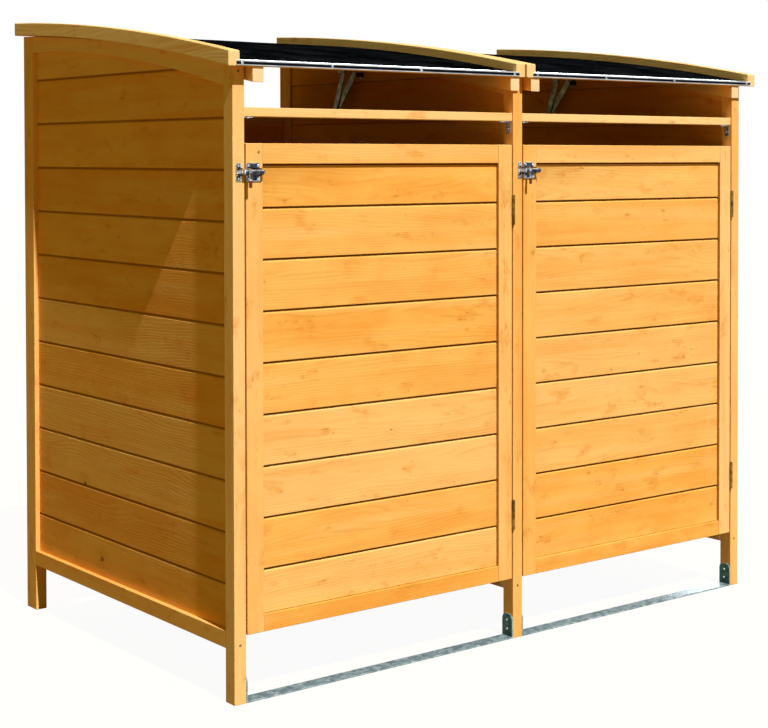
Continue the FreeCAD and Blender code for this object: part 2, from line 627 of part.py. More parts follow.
def slide_bolt(side, post, keeper_inset, bay):
    """The keeper on the post, the case on the door, and the bolt with its turning handle."""
    keeper_x = post + " + " + keeper_inset
    tip = keeper_x + " + dims.keeper_wide + dims.bolt_start"
    case_x = bay + " + at.door_gap + dims.case_inset"
    cover_x = tip + " + dims.cover_start"
    cover_wide = "%s + dims.case_wide - (%s)" % (case_x, cover_x)
    surface = "at.front - dims.plate_thick"
    edge = "(dims.plate_high + 2 * at.strap_radius) / 4"
    keeper_holes = []
    case_holes = []
    case_screws = []
    for level, sign in (("low", "-"), ("high", "+")):
        height = "at.latch_height %s %s" % (sign, edge)
        middle = (keeper_x + " + dims.keeper_wide / 2", surface, height)
        frame_screws.append(screw("%s_keeper_screw_%s" % (side, level), middle, "y"))
        keeper_holes.append(screw_hole("%s_keeper_hole_%s" % (side, level), middle, "y", "dims.plate_thick"))
        for end, offset in (("a", "edge_inset"), ("b", "dims.case_wide - edge_inset")):
            point = (case_x + " + " + offset.replace("edge_inset", "dims.screw_head_radius * 1.5"),
                     surface, height)
            label = "%s_case_%s_%s" % (side, level, end)
            case_screws.append(screw(label + "_screw", point, "y"))
            case_holes.append(screw_hole(label + "_hole", point, "y", "dims.plate_thick"))
    keeper = fuse(side + "_keeper_blank", plate(side + "_keeper_plate", keeper_x, "dims.keeper_wide"),
                  strap(side + "_keeper_strap", keeper_x, "dims.keeper_wide",
                        "dims.bolt_radius + dims.keeper_play"))
    keepers.append(cut(side + "_keeper", keeper, *keeper_holes))
    case = fuse(side + "_case_blank", plate(side + "_case_plate", case_x, "dims.case_wide"),
                strap(side + "_case_cover", cover_x, cover_wide, "dims.bolt_radius + dims.bolt_play"))
    keep(group(side + "_bolt_case", [cut(side + "_case", case, *case_holes)] + case_screws))
    axis_point = (tip, "at.bolt_y", "at.latch_height")
    keep(rod(side + "_bolt", "dims.bolt_radius", "dims.bolt_long", axis_point, "x"))

    collar_x = tip + " + dims.collar_start"
    collar = rod(side + "_collar", "dims.collar_radius", "dims.collar_wide",
                 (collar_x, "at.bolt_y", "at.latch_height"), "x")
    lever_half = "dims.lever_wide / 2"
    shank = box(side + "_lever_shank", ("dims.lever_wide", "dims.lever_thick", "dims.lever_long"),
                ("-" + lever_half, "0", "-dims.lever_long"))
    tip_round = rod(side + "_lever_tip", lever_half, "dims.lever_thick", ("0", "0", "-dims.lever_long"), "y")
    slant = FreeCAD.Rotation(FreeCAD.Vector(0, 1, 0), -float(sheet.lever_slant))
    lever = place(fuse(side + "_lever", shank, tip_round),
                  (collar_x + " + dims.collar_wide / 2", "at.bolt_y - dims.collar_radius + dims.strap_thick / 2",
                   "at.latch_height"), slant)
    bore = rod(side + "_collar_bore", "dims.bolt_radius + dims.collar_play", "3 * dims.collar_wide",
               (collar_x + " - dims.collar_wide", "at.bolt_y", "at.latch_height"), "x")
    keep(cut(side + "_bolt_handle", fuse(side + "_handle_blank", collar, lever), bore))


door("left", "at.left_bay")
door("right", "at.right_bay")
slide_bolt("left", "at.left_frame", "dims.keeper_left", "at.left_bay")
slide_bolt("right", "at.middle_frame", "dims.keeper_right", "at.right_bay")
keep(group("bolt_keepers", keepers))


# Lids

def lid(side, deck, bay):
    """Two barges, two ribs, three battens, the sheet, its edge trim and the hinge leaves."""
    far = deck + " + at.deck_wide"
    keep(group(side + "_lid_barges", [
        curved(side + "_barge_a", deck + " - dims.barge_wide", "dims.barge_wide", "at.lid_start",
               "at.lid_deep", "0", "dims.barge_high"),
        curved(side + "_barge_b", far, "dims.barge_wide", "at.lid_start", "at.lid_deep", "0",
               "dims.barge_high"),
    ]))
    rib_start = "at.front - dims.rib_front"
    far_rib = bay + " + dims.bay_wide - dims.rib_play - dims.rib_wide"
    keep(group(side + "_lid_ribs", [
        curved(side + "_rib_a", bay + " + dims.rib_play", "dims.rib_wide", rib_start, "at.rib_long",
               "(-dims.rib_high)", "0"),
        curved(side + "_rib_b", far_rib, "dims.rib_wide", rib_start, "at.rib_long", "(-dims.rib_high)", "0"),
    ]))
    battens = [
        curved(side + "_batten_front", deck, "at.deck_wide", "at.lid_start", "dims.batten_deep", "0",
               "dims.batten_thick"),
        curved(side + "_batten_middle", deck, "at.deck_wide", "at.front + (at.store_deep - dims.batten_deep) / 2",
               "dims.batten_deep", "0", "dims.batten_thick"),
    ]
    rear_blank = box(side + "_batten_rear_blank", ("at.deck_wide", "dims.batten_deep", "at.tall"),
                     (deck, "at.lid_end - dims.batten_deep", "dims.back_height"))
    rear_top = under_arch(side + "_batten_rear_top", "dims.arch_radius + dims.batten_thick", deck,
                          "at.deck_wide")
    battens.append(common(side + "_batten_rear", rear_blank, rear_top))
    keep(group(side + "_lid_battens", battens))
    sheet_top = "dims.batten_thick + dims.sheet_thick"
    keep(curved(side + "_lid_sheet", deck, "at.deck_wide", "at.lid_start", "at.lid_deep",
                "dims.batten_thick", sheet_top))
    edge_trim(side, deck, sheet_top)
    moving = []
    near_end = bay + " + dims.lid_hinge_inset + dims.hinge_high"
    far_end = bay + " + dims.bay_wide - dims.lid_hinge_inset"
    for label, end in (("a", near_end), ("b", far_end)):
        fixed, screws, leaf_set = hinge("%s_lid_hinge_%s" % (side, label),
                                        (end, "at.lid_pivot_y", "at.lid_pivot_z"), HINGE_LYING,
                                        "dims.batten_screw_long")
        hinge_frame_leaves.append(fixed)
        frame_screws.append(screws)
        moving.append(leaf_set)
    keep(group(side + "_lid_hinge_leaves", moving))


TRIM_SCREW_SHARES = (0.305, 0.625)


def edge_trim(side, deck, sheet_top):
    """A metal angle: one leg lies on the sheet, the other hangs in front of the batten."""
    name = side + "_lid_trim"
    top_leg = curved(name + "_top", deck, "at.deck_wide", "at.lid_start - dims.trim_thick",
                     "dims.trim_leg", sheet_top, sheet_top + " + dims.trim_thick")
    hang = curved(name + "_hang_all", deck + " - dims.trim_lap", "at.deck_wide + 2 * dims.trim_lap",
                  "at.lid_start - dims.trim_thick", "dims.trim_thick", "dims.trim_show",
                  sheet_top + " + dims.trim_thick")
    level = "at.arch_z + sqrt((dims.arch_radius + dims.batten_thick * 0.75) ^ 2" \
            " - (at.lid_start - at.arch_y) ^ 2)"
    holes = []
    screws = []
    along = ["dims.trim_screw_first"] + ["at.deck_wide * %s" % share for share in TRIM_SCREW_SHARES]
    along.append("at.deck_wide - dims.trim_screw_last")
    for number, inset in enumerate(along, start=1):
        point = ("%s + %s" % (deck, inset), "at.lid_start - dims.trim_thick", level)
        holes.append(screw_hole("%s_hole_%d" % (name, number), point, "y", "dims.trim_thick"))
        screws.append(screw("%s_screw_%d" % (name, number), point, "y"))
    angle = cut(name + "_angle", fuse(name + "_blank", top_leg, hang), *holes)
    keep(group(name, [angle] + screws))


lid("left", "at.left_deck", "at.left_bay")
lid("right", "at.right_deck", "at.right_bay")
keep(group("hinge_frame_leaves", hinge_frame_leaves))


# Lid stays: an arm on the side frame and an arm on the lid's rib, folded at their elbow

def arm(name, x, start, end, bores):
    """A flat bar between two points of the YZ plane, each end rounded."""
    run_y = "(%s - (%s))" % (end[0], start[0])
    run_z = "(%s - (%s))" % (end[1], start[1])
    long = "sqrt(%s ^ 2 + %s ^ 2)" % (run_y, run_z)
    half = "dims.arm_wide / 2"
    bar = box(name + "_bar", ("dims.arm_thick", long, "dims.arm_wide"),
              (x, "%s + %s * %s / %s" % (start[0], half, run_z, long),
               "%s - %s * %s / %s" % (start[1], half, run_y, long)))
    bar.Placement.Rotation = FreeCAD.Rotation(FreeCAD.Vector(1, 0, 0), 1)
    bar.setExpression("Placement.Rotation.Angle", "atan2(%s; %s)" % (run_z, run_y))
    ends = [rod("%s_end_%d" % (name, i), half, "dims.arm_thick", (x, point[0], point[1]), "x")
            for i, point in enumerate((start, end))]
    holes = [rod("%s_bore_%d" % (name, i), "dims.stud_radius + dims.stud_play", "dims.arm_thick",
                 (x, point[0], point[1]), "x") for i, point in enumerate(bores)]
    return cut(name, fuse(name + "_blank", bar, *ends), *holes)


stay_frame_brackets = []


def stay(side, frame):
    """The folded stay at the right-hand side of a bay."""
    on_frame = ("at.stay_frame_y", "at.stay_frame_z")
    on_lid = ("at.stay_lid_y", "at.stay_lid_z")
    elbow = ("at.front + dims.stay_elbow_back", "at.stay_frame_z - dims.stay_elbow_drop")
    frame_arm_x = frame + " + at.frame_arm_x"
    lid_arm_x = frame + " + at.lid_arm_x"
    keep(arm(side + "_stay_frame_arm", frame_arm_x, on_frame, elbow, [on_frame]))
    bare_arm = arm(side + "_lid_arm", lid_arm_x, on_lid, elbow, [on_lid])
    rivet = rod(side + "_elbow_rivet", "dims.stud_head_radius", "dims.stud_head",
                (lid_arm_x + " - dims.stud_head", elbow[0], elbow[1]), "x")
    keep(fuse(side + "_stay_lid_arm", bare_arm, rivet))

    board_x = frame + " + at.board_inner"
    foot = rod(side + "_stay_foot", "dims.flange_radius", "dims.flange_thick",
               (board_x, on_frame[0], on_frame[1]), "-x")
    stud = rod(side + "_stay_stud", "dims.stud_radius",
               "at.board_inner - at.frame_arm_x + dims.stud_play", (board_x,) + on_frame, "-x")
    shoulder = rod(side + "_stay_shoulder", "dims.stud_head_radius",
                   "at.board_inner - at.frame_arm_x - dims.arm_thick - dims.stud_play",
                   (board_x,) + on_frame, "-x")
    head = rod(side + "_stay_head", "dims.stud_head_radius", "dims.arm_gap / 2",
               (frame_arm_x + " - dims.stud_play",) + on_frame, "-x")
    stay_frame_brackets.append(fuse(side + "_stay_bracket", foot, stud, shoulder, head))

    rib_face = frame + " - dims.rib_play - dims.rib_wide"
    plate_x = rib_face + " - dims.stay_plate_thick"
    plate_z = "at.stay_lid_z - dims.stay_plate_wide / 2"
    lug = box(side + "_lug", ("dims.stay_plate_thick", "dims.stay_plate_wide", "2 * dims.stay_plate_wide"),
              (plate_x, on_lid[0] + " - dims.stay_plate_wide / 2", plate_z))
    lid_stud = rod(side + "_lid_stud", "dims.stud_radius",
                   "dims.rib_play + dims.rib_wide + dims.stay_plate_thick + at.lid_arm_x"
                   " + dims.arm_thick + dims.stud_play",
                   (plate_x,) + on_lid, "x")
    lid_shoulder = rod(side + "_lid_shoulder", "dims.stud_head_radius",
                       "dims.rib_play + dims.rib_wide + dims.stay_plate_thick + at.lid_arm_x"
                       " - dims.stud_play",
                       (plate_x,) + on_lid, "x")
    lid_head = rod(side + "_lid_head", "dims.stud_head_radius", "dims.stud_head",
                   (lid_arm_x + " + dims.arm_thick + dims.stud_play",) + on_lid, "x")
    screw_up = "at.stay_lid_z + dims.stay_plate_wide"
    point = (plate_x, on_lid[0], screw_up)
    lug_hole = screw_hole(side + "_lug_hole", point, "x", "dims.stay_plate_thick")
    keep(group(side + "_lid_stay_bracket", [
        cut(side + "_lug_set", fuse(side + "_lug_blank", lug, lid_stud, lid_shoulder, lid_head), lug_hole),
        screw(side + "_lug_screw", point, "x"),
    ]))


stay("left", "at.middle_frame")
stay("right", "at.right_frame")
keep(group("stay_frame_brackets", stay_frame_brackets))
keep(group("frame_screws", frame_screws))

doc.recompute()


def check(piece):
    """Stop if an object failed to build."""
    if "Invalid" in piece.State or "Error" in piece.State:
        raise RuntimeError("%s did not build: %s" % (piece.Label, piece.State))


for item in doc.Objects:
    check(item)
for node in nodes:
    if node.Shape.isNull() or not node.Shape.isValid() or not node.Shape.Solids:
        raise RuntimeError("%s has no valid solid" % node.Label)

os.makedirs("parts", exist_ok=True)
for node in nodes:
    node.Shape.exportStep("parts/%s.step" % node.Label)
print(len(nodes), "sub-parts written")
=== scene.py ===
import json
import math

import bmesh
import bpy
from mathutils import Matrix, Vector, noise

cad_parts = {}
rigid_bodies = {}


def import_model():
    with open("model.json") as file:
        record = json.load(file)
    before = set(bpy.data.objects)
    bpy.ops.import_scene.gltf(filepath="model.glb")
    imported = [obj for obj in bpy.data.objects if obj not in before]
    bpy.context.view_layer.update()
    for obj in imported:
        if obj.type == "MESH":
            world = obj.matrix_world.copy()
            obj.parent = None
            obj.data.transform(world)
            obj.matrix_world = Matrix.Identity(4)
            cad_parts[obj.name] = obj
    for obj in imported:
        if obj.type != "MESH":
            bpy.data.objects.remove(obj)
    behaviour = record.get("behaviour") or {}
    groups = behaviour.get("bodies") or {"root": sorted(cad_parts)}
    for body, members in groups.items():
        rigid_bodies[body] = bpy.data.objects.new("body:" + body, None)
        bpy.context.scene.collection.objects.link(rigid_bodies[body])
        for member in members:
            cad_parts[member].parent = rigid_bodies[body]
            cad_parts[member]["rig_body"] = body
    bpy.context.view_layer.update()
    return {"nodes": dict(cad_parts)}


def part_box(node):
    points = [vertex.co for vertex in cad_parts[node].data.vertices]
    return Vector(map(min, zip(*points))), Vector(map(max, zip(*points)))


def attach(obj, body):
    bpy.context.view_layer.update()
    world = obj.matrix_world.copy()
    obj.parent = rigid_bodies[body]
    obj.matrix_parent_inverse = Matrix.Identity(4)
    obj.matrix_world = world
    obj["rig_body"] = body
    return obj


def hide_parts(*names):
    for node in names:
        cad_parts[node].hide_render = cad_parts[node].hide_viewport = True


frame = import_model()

MM = 0.001

# The store's measured places, in millimetres
FRONT = -435.65
BACK = 458.35
POST_WIDE = 25
POST_DEEP = 32
BAY_WIDE = 645
LEFT_FRAME = -682.5
MIDDLE_FRAME = -12.5
RIGHT_FRAME = 657.5
EAVES_HEIGHT = 1175.5
BACK_HEIGHT = 1275
ARCH_RADIUS = 7000
RAIL_LOW = 1081
LATCH_HEIGHT = 979
BAYS = {"left": LEFT_FRAME + POST_WIDE, "right": MIDDLE_FRAME + POST_WIDE}
RIGHT_DECK_INSET = 39
DECKS = {"left": LEFT_FRAME, "right": MIDDLE_FRAME + RIGHT_DECK_INSET}
DECK_WIDE = 656
LID_OVERHANG = 27
LID_START = FRONT - LID_OVERHANG

rise = BACK_HEIGHT - EAVES_HEIGHT
chord = math.hypot(BACK - FRONT, rise)
arch_drop = math.sqrt(ARCH_RADIUS ** 2 - chord ** 2 / 4)
ARCH_Y = (FRONT + BACK) / 2 + arch_drop * rise / chord
ARCH_Z = EAVES_HEIGHT + rise / 2 - arch_drop * (BACK - FRONT) / chord


def lid_line(y, above=0):
    """Height of the lids' curved underside, or of a curve above it."""
    return ARCH_Z + math.sqrt((ARCH_RADIUS + above) ** 2 - (y - ARCH_Y) ** 2)


# Shader helpers

def lin(code):
    """An sRGB hex colour as the linear values that a shader takes."""
    values = [int(code[i:i + 2], 16) / 255 for i in (1, 3, 5)]
    return [v / 12.92 if v <= 0.04045 else ((v + 0.055) / 1.055) ** 2.4 for v in values] + [1.0]


def add_node(tree, kind, inputs=(), out=0, **settings):
    """Add a shader node with its settings, values and links, and give one output, or all if out is None."""
    made = tree.nodes.new("ShaderNode" + kind)
    for name, value in settings.items():
        setattr(made, name, value)
    pairs = inputs.items() if isinstance(inputs, dict) else enumerate(inputs)
    for name, value in pairs:
        if isinstance(value, bpy.types.NodeSocket):
            tree.links.new(value, made.inputs[name])
        else:
            made.inputs[name].default_value = value
    return made.outputs if out is None else made.outputs[out]


def new_material(name):
    material = bpy.data.materials.new(name)
    material.use_nodes = True
    return material, material.node_tree, material.node_tree.nodes["Principled BSDF"]


# Finishes

def knots(tree, flat, wobble, per_metre, share, small, large):
    """Round branch knots: mask of the whole knot, of its dark ring, and of the swirl of grain round it."""
    cells = add_node(tree, "TexVoronoi", {"Vector": flat, "Scale": per_metre, "Randomness": 1.0}, out=None)
    chances = add_node(tree, "SeparateColor", (cells["Color"],), out=None)
    lot, size = chances[0], chances[1]
    reach = add_node(tree, "Math", (wobble, 0.06, cells["Distance"]), operation="MULTIPLY_ADD")
    here = add_node(tree, "Math", (lot, 1.0 - share), operation="GREATER_THAN")
    span = (large - small) * per_metre
    radius = add_node(tree, "Math", (size, span, small * per_metre + 0.03), operation="MULTIPLY_ADD")
    outside = add_node(tree, "Math", (radius, 0.012), operation="ADD")
    knot = add_node(tree, "MapRange", (reach, outside, radius), interpolation_type="SMOOTHSTEP")
    knot = add_node(tree, "Math", (knot, here), operation="MULTIPLY")
    core = add_node(tree, "Math", (radius, 0.55), operation="MULTIPLY")
    rim = add_node(tree, "Math", (radius, 0.95), operation="MULTIPLY")
    ring = add_node(tree, "MapRange", (reach, core, rim), interpolation_type="SMOOTHSTEP")
    ring = add_node(tree, "Math", (ring, knot), operation="MULTIPLY")
    swirl = add_node(tree, "MapRange", (reach, 0.4, 0.02), interpolation_type="SMOOTHSTEP")
    swirl = add_node(tree, "Math", (swirl, here), operation="MULTIPLY")
    return knot, ring, swirl


def glazed_pine():
    """Planed softwood under a thin honey glaze: soft pale grain, small brown ring knots, satin gloss, and
    painted shade in its laps and corners.
    """
    material, tree, shader = new_material("honey-glazed planed pine")
    grain = add_node(tree, "Attribute", out="Vector", attribute_name="grain")
    tone = add_node(tree, "Attribute", out="Fac", attribute_name="board_tone")
    sawn_end = add_node(tree, "Attribute", out="Fac", attribute_name="sawn_end")
    painted_shade_mark = add_node(tree, "Attribute", out="Fac", attribute_name="painted_joint_shade")
    # cells per metre along, across and through the board; the fibres are drawn about 0.8 mm wide,
    # no finer, because thinner ones wouldn't show
    field = {}
    for name, scale, detail, roughness in (
            ("wobble", (150.0, 150.0, 150.0), 2.0, 0.5),
            ("drift", (1.7, 8.0, 8.0), 2.0, 0.5),
            ("fibres", (14.0, 1100.0, 1100.0), 2.0, 0.6),
            ("streaks", (3.0, 60.0, 40.0), 3.0, 0.5),
            ("bands", (1.6, 26.0, 20.0), 2.0, 0.5),
            ("smudges", (15.0, 30.0, 24.0), 3.0, 0.6),
            ("feathers", (60.0, 150.0, 80.0), 3.0, 0.6),
            ("patches", (7.0, 15.0, 14.0), 3.0, 0.6)):
        space = add_node(tree, "Mapping", {"Vector": grain, "Scale": scale})
        field[name] = add_node(tree, "TexNoise", {"Vector": space, "Scale": 1.0, "Detail": detail,
                                                  "Roughness": roughness})

    # ring knots 8 to 14 mm across, and pin knots of 3 to 5 mm between them
    along, across, through = add_node(tree, "SeparateXYZ", (grain,), out=None)
    stretched = add_node(tree, "Math", (along, 0.8), operation="MULTIPLY")
    flat = add_node(tree, "CombineXYZ", (stretched, across))
    knot, ring_knot, swirl = knots(tree, flat, field["wobble"], 8.0, 0.28, 0.0038, 0.007)
    shifted = add_node(tree, "VectorMath", (flat, (3.1, 1.7, 0.4)), operation="ADD")
    pin, pin_swirl = knots(tree, shifted, field["wobble"], 15.0, 0.2, 0.0012, 0.0024)[::2]
    pin_swirl = add_node(tree, "Math", (pin_swirl, 0.5), operation="MULTIPLY")
    swirl = add_node(tree, "Math", (swirl, pin_swirl), operation="MAXIMUM")

    # growth rings 3 to 6 mm apart round the pith, drifting slowly along the board
    thickness = add_node(tree, "Math", (through, through), operation="MULTIPLY")
    squares = add_node(tree, "Math", (across, across, thickness), operation="MULTIPLY_ADD")
    from_pith = add_node(tree, "Math", (squares,), operation="SQRT")
    from_pith = add_node(tree, "Math", (field["drift"], 0.06, from_pith), operation="MULTIPLY_ADD")
    from_pith = add_node(tree, "Math", (swirl, 0.016, from_pith), operation="MULTIPLY_ADD")
    years = add_node(tree, "Math", (from_pith, 0.0046), operation="DIVIDE")
    phase = add_node(tree, "Math", (years,), operation="FRACT")
    # pale early wood darkens slowly to late wood, then drops back at the winter line
    darkening = add_node(tree, "MapRange", (phase, 0.25, 0.82), interpolation_type="SMOOTHSTEP")
    winter = add_node(tree, "MapRange", (phase, 1.0, 0.86), interpolation_type="SMOOTHSTEP")
    rings = add_node(tree, "Math", (darkening, winter), operation="MULTIPLY")

    # each mark: its pattern, where in that it starts and is full, and its least and greatest amount
    amount = {}
    for name, source, start, full, least, most in (
            ("patch", "patches", 0.36, 0.64, 0.0, 1.0),
            ("pale band", "bands", 0.5, 0.72, 0.0, 0.4),
            ("deep band", "bands", 0.48, 0.3, 0.0, 0.3),
            ("ring", "streaks", 0.42, 0.78, 0.0, 0.3),
            ("dark fibre", "fibres", 0.55, 0.8, 0.0, 0.14),
            ("pale fibre", "fibres", 0.44, 0.25, 0.0, 0.14),
            ("smudge", "smudges", 0.56, 0.74, 0.0, 0.5),
            ("near smudge", "smudges", 0.55, 0.68, 0.0, 1.0),
            ("feather", "feathers", 0.56, 0.7, 0.0, 0.5),
            ("halo", "streaks", 0.25, 0.7, 0.2, 0.6)):
        amount[name] = add_node(tree, "MapRange", (field[source], start, full, least, most),
                                interpolation_type="SMOOTHSTEP")
    deeper = add_node(tree, "Math", (tone, 0.0), operation="MAXIMUM")
    paler = add_node(tree, "Math", (tone, -1.0), operation="MULTIPLY", use_clamp=True)
    ring_amount = add_node(tree, "Math", (rings, amount["ring"]), operation="MULTIPLY")
    feather = add_node(tree, "Math", (amount["feather"], amount["near smudge"]), operation="MULTIPLY")
    near_knot = add_node(tree, "Math", (swirl, 2.2), operation="POWER")
    halo = add_node(tree, "Math", (near_knot, amount["halo"]), operation="MULTIPLY")
    knot_amount = add_node(tree, "Math", (knot, 0.45), operation="MULTIPLY")
    ring_knot = add_node(tree, "Math", (ring_knot, 0.8), operation="MULTIPLY")
    pin = add_node(tree, "Math", (pin, 0.75), operation="MULTIPLY")
    # painted shade: the faces marked in the laps, under the door's top rail and on the stiles' inner sides
    # darken toward #431603
    shade = add_node(tree, "Math", (painted_shade_mark, 0.9), operation="MULTIPLY")
    wood = lin("#FFBC5C")
    for part, colour in (
            (amount["patch"], "#FCB04F"), (deeper, "#E07F22"), (paler, "#FFD794"),
            (amount["pale band"], "#FFCB7E"), (amount["deep band"], "#F59C3A"), (ring_amount, "#D9802A"),
            (amount["dark fibre"], "#D27F2B"), (amount["pale fibre"], "#FFD08A"),
            (amount["smudge"], "#EC963A"), (feather, "#BE6C22"), (halo, "#D07F2C"),
            (knot_amount, "#D08538"), (ring_knot, "#6E3A12"), (pin, "#74400F"),
            (sawn_end, "#FBE0B4"), (shade, "#431603")):
        wood = add_node(tree, "Mix", {0: part, 6: wood, 7: lin(colour)}, out=2, data_type="RGBA")
    tree.links.new(wood, shader.inputs["Base Color"])

    gloss = add_node(tree, "Math", (field["fibres"], 0.14, 0.42), operation="MULTIPLY_ADD")
    tree.links.new(gloss, shader.inputs["Roughness"])
    # the thin glaze soaks in, and shows no mirror gleam even at a low angle
    shader.inputs["Specular IOR Level"].default_value = 0.0
    relief = add_node(tree, "Math", (field["fibres"], 0.5), operation="MULTIPLY")
    relief = add_node(tree, "Math", (field["streaks"], 1.3, relief), operation="MULTIPLY_ADD")
    relief = add_node(tree, "Math", (rings, -0.28, relief), operation="MULTIPLY_ADD")
    relief = add_node(tree, "Math", (knot, 0.6, relief), operation="MULTIPLY_ADD")
    bump = add_node(tree, "Bump", {"Height": relief, "Strength": 0.75, "Distance": 0.45 * MM})
    tree.links.new(bump, shader.inputs["Normal"])
    return material


def roof_sheet_finish():
    """Black extruded plastic sheet: deep black, a little wavy, with dust on it and pale streaks painted in
    as reflections.
    """
    material, tree, shader = new_material("black extruded roofing plastic")
    place = add_node(tree, "TexCoord", out="Object")
    # painted reflections: pale streaks 8 to 20 mm across the slope and up to 80 mm along the sheet
    field = {}
    for name, scale, detail, roughness in (
            ("dust", (9.0, 9.0, 9.0), 4.0, 0.6),
            ("painted_glints", (9.0, 34.0, 30.0), 3.0, 0.6),
            ("fine marks", (24.0, 150.0, 60.0), 2.0, 0.5),
            ("waves", (5.0, 12.0, 5.0), 1.0, 0.5),
            ("grit", (160.0, 160.0, 160.0), 2.0, 0.5)):
        space = add_node(tree, "Mapping", {"Vector": place, "Scale": scale})
        field[name] = add_node(tree, "TexNoise", {"Vector": space, "Scale": 1.0, "Detail": detail,
                                                  "Roughness": roughness})
    amount = {}
    for name, start, full, most in (("dust", 0.35, 0.75, 1.0), ("painted_glints", 0.64, 0.78, 0.8),
                                    ("fine marks", 0.64, 0.76, 0.35)):
        amount[name] = add_node(tree, "MapRange", (field[name], start, full, 0.0, most),
                                interpolation_type="SMOOTHSTEP")
    painted_glints = add_node(tree, "Math", (amount["painted_glints"], amount["fine marks"]), operation="MAXIMUM")
    black = lin("#030405")
    # the dust's grey is real, the streaks' pale grey is painted reflection
    for part, colour in ((amount["dust"], "#121417"), (painted_glints, "#4E595C")):
        black = add_node(tree, "Mix", {0: part, 6: black, 7: lin(colour)}, out=2, data_type="RGBA")
    tree.links.new(black, shader.inputs["Base Color"])
    gloss = add_node(tree, "MapRange", (amount["dust"], 0.0, 1.0, 0.35, 0.6))
    tree.links.new(gloss, shader.inputs["Roughness"])
    shader.inputs["Specular IOR Level"].default_value = 0.0
    relief = add_node(tree, "Math", (field["grit"], 0.03, field["waves"]), operation="MULTIPLY_ADD")
    bump = add_node(tree, "Bump", {"Height": relief, "Strength": 0.5, "Distance": 3 * MM})
    tree.links.new(bump, shader.inputs["Normal"])
    return material


def plated_metal(title, bright, dull, gloss_base, patch_mm, grit_mm, bump_strength):
    """A metal whose colour and gloss vary in patches, over a fine grit."""
    material, tree, shader = new_material(title)
    place = add_node(tree, "TexCoord", out="Object")
    patch, grit = 1000.0 / patch_mm, 1000.0 / grit_mm
    field = {}
    for name, scale, detail, roughness in (("patches", (patch, patch, patch), 3.0, 0.5),
                                           ("grit", (grit, grit, grit), 2.0, 0.5)):
        space = add_node(tree, "Mapping", {"Vector": place, "Scale": scale})
        field[name] = add_node(tree, "TexNoise", {"Vector": space, "Scale": 1.0, "Detail": detail,
                                                  "Roughness": roughness})
    dulled = add_node(tree, "MapRange", (field["patches"], 0.35, 0.65), interpolation_type="SMOOTHSTEP")
    colour = add_node(tree, "Mix", {0: dulled, 6: lin(bright), 7: lin(dull)}, out=2, data_type="RGBA")
    tree.links.new(colour, shader.inputs["Base Color"])
    shader.inputs["Metallic"].default_value = 1.0
    gloss = add_node(tree, "Math", (field["patches"], 0.16, gloss_base), operation="MULTIPLY_ADD")
    tree.links.new(gloss, shader.inputs["Roughness"])
    bump = add_node(tree, "Bump", {"Height": field["grit"], "Strength": bump_strength, "Distance": 0.1 * MM})
    tree.links.new(bump, shader.inputs["Normal"])
    return material


def galvanised_steel():
    """Hot-dip galvanised flat bar: blue-grey zinc in crystals about 9 mm across, with worn bright spots."""
    material, tree, shader = new_material("hot-dip galvanised steel")
    place = add_node(tree, "TexCoord", out="Object")
    field = {}
    for name, scale, detail, roughness in (("wear", (60.0, 60.0, 60.0), 4.0, 0.65),
                                           ("grit", (900.0, 900.0, 900.0), 2.0, 0.5)):
        space = add_node(tree, "Mapping", {"Vector": place, "Scale": scale})
        field[name] = add_node(tree, "TexNoise", {"Vector": space, "Scale": 1.0, "Detail": detail,
                                                  "Roughness": roughness})
    crystals = add_node(tree, "TexVoronoi", {"Vector": place, "Scale": 110.0}, out="Color")
    tone = add_node(tree, "SeparateColor", (crystals,))
    worn = add_node(tree, "MapRange", (field["wear"], 0.5, 0.7), interpolation_type="SMOOTHSTEP")
    zinc = lin("#728A92")
    for part, colour in ((tone, "#A3B8BE"), (worn, "#C2D0D5")):
        zinc = add_node(tree, "Mix", {0: part, 6: zinc, 7: lin(colour)}, out=2, data_type="RGBA")
    tree.links.new(zinc, shader.inputs["Base Color"])
    # weathered zinc is partly covered by its grey oxide, which isn't metallic
    shader.inputs["Metallic"].default_value = 0.35
    shader.inputs["Specular IOR Level"].default_value = 0.2
    gloss = add_node(tree, "Math", (tone, 0.15, 0.4), operation="MULTIPLY_ADD")
    tree.links.new(gloss, shader.inputs["Roughness"])
    bump = add_node(tree, "Bump", {"Height": field["grit"], "Strength": 0.3, "Distance": 0.1 * MM})
    tree.links.new(bump, shader.inputs["Normal"])
    return material


def dipped_grip():
    """A soft plastic sleeve dipped over steel: brown, uneven, half glossy."""
    material, tree, shader = new_material("brown dipped plastic grip")
    place = add_node(tree, "TexCoord", out="Object")
    mottle = add_node(tree, "TexNoise", {"Vector": place, "Scale": 300.0})
    brown = add_node(tree, "Mix", {0: mottle, 6: lin("#6B3411"), 7: lin("#4A200A")}, out=2, data_type="RGBA")
    tree.links.new(brown, shader.inputs["Base Color"])
    shader.inputs["Roughness"].default_value = 0.38
    shader.inputs["Specular IOR Level"].default_value = 0.3
    return material


pine = glazed_pine()
roofing = roof_sheet_finish()
mill_aluminium = plated_metal("mill-finish aluminium", "#E4E8EA", "#B9BEC2", 0.2, 40.0, 0.6, 0.15)
# painted dark reflection for the edge strips' sunk front face
aluminium_painted_dark_reflection = plated_metal("aluminium painted dark as reflection", "#1B1A20", "#0E0D12", 0.45, 25.0, 0.6, 0.15)
bright_zinc = plated_metal("bright zinc-plated steel", "#E3E6E8", "#8D9398", 0.16, 7.0, 0.5, 0.2)
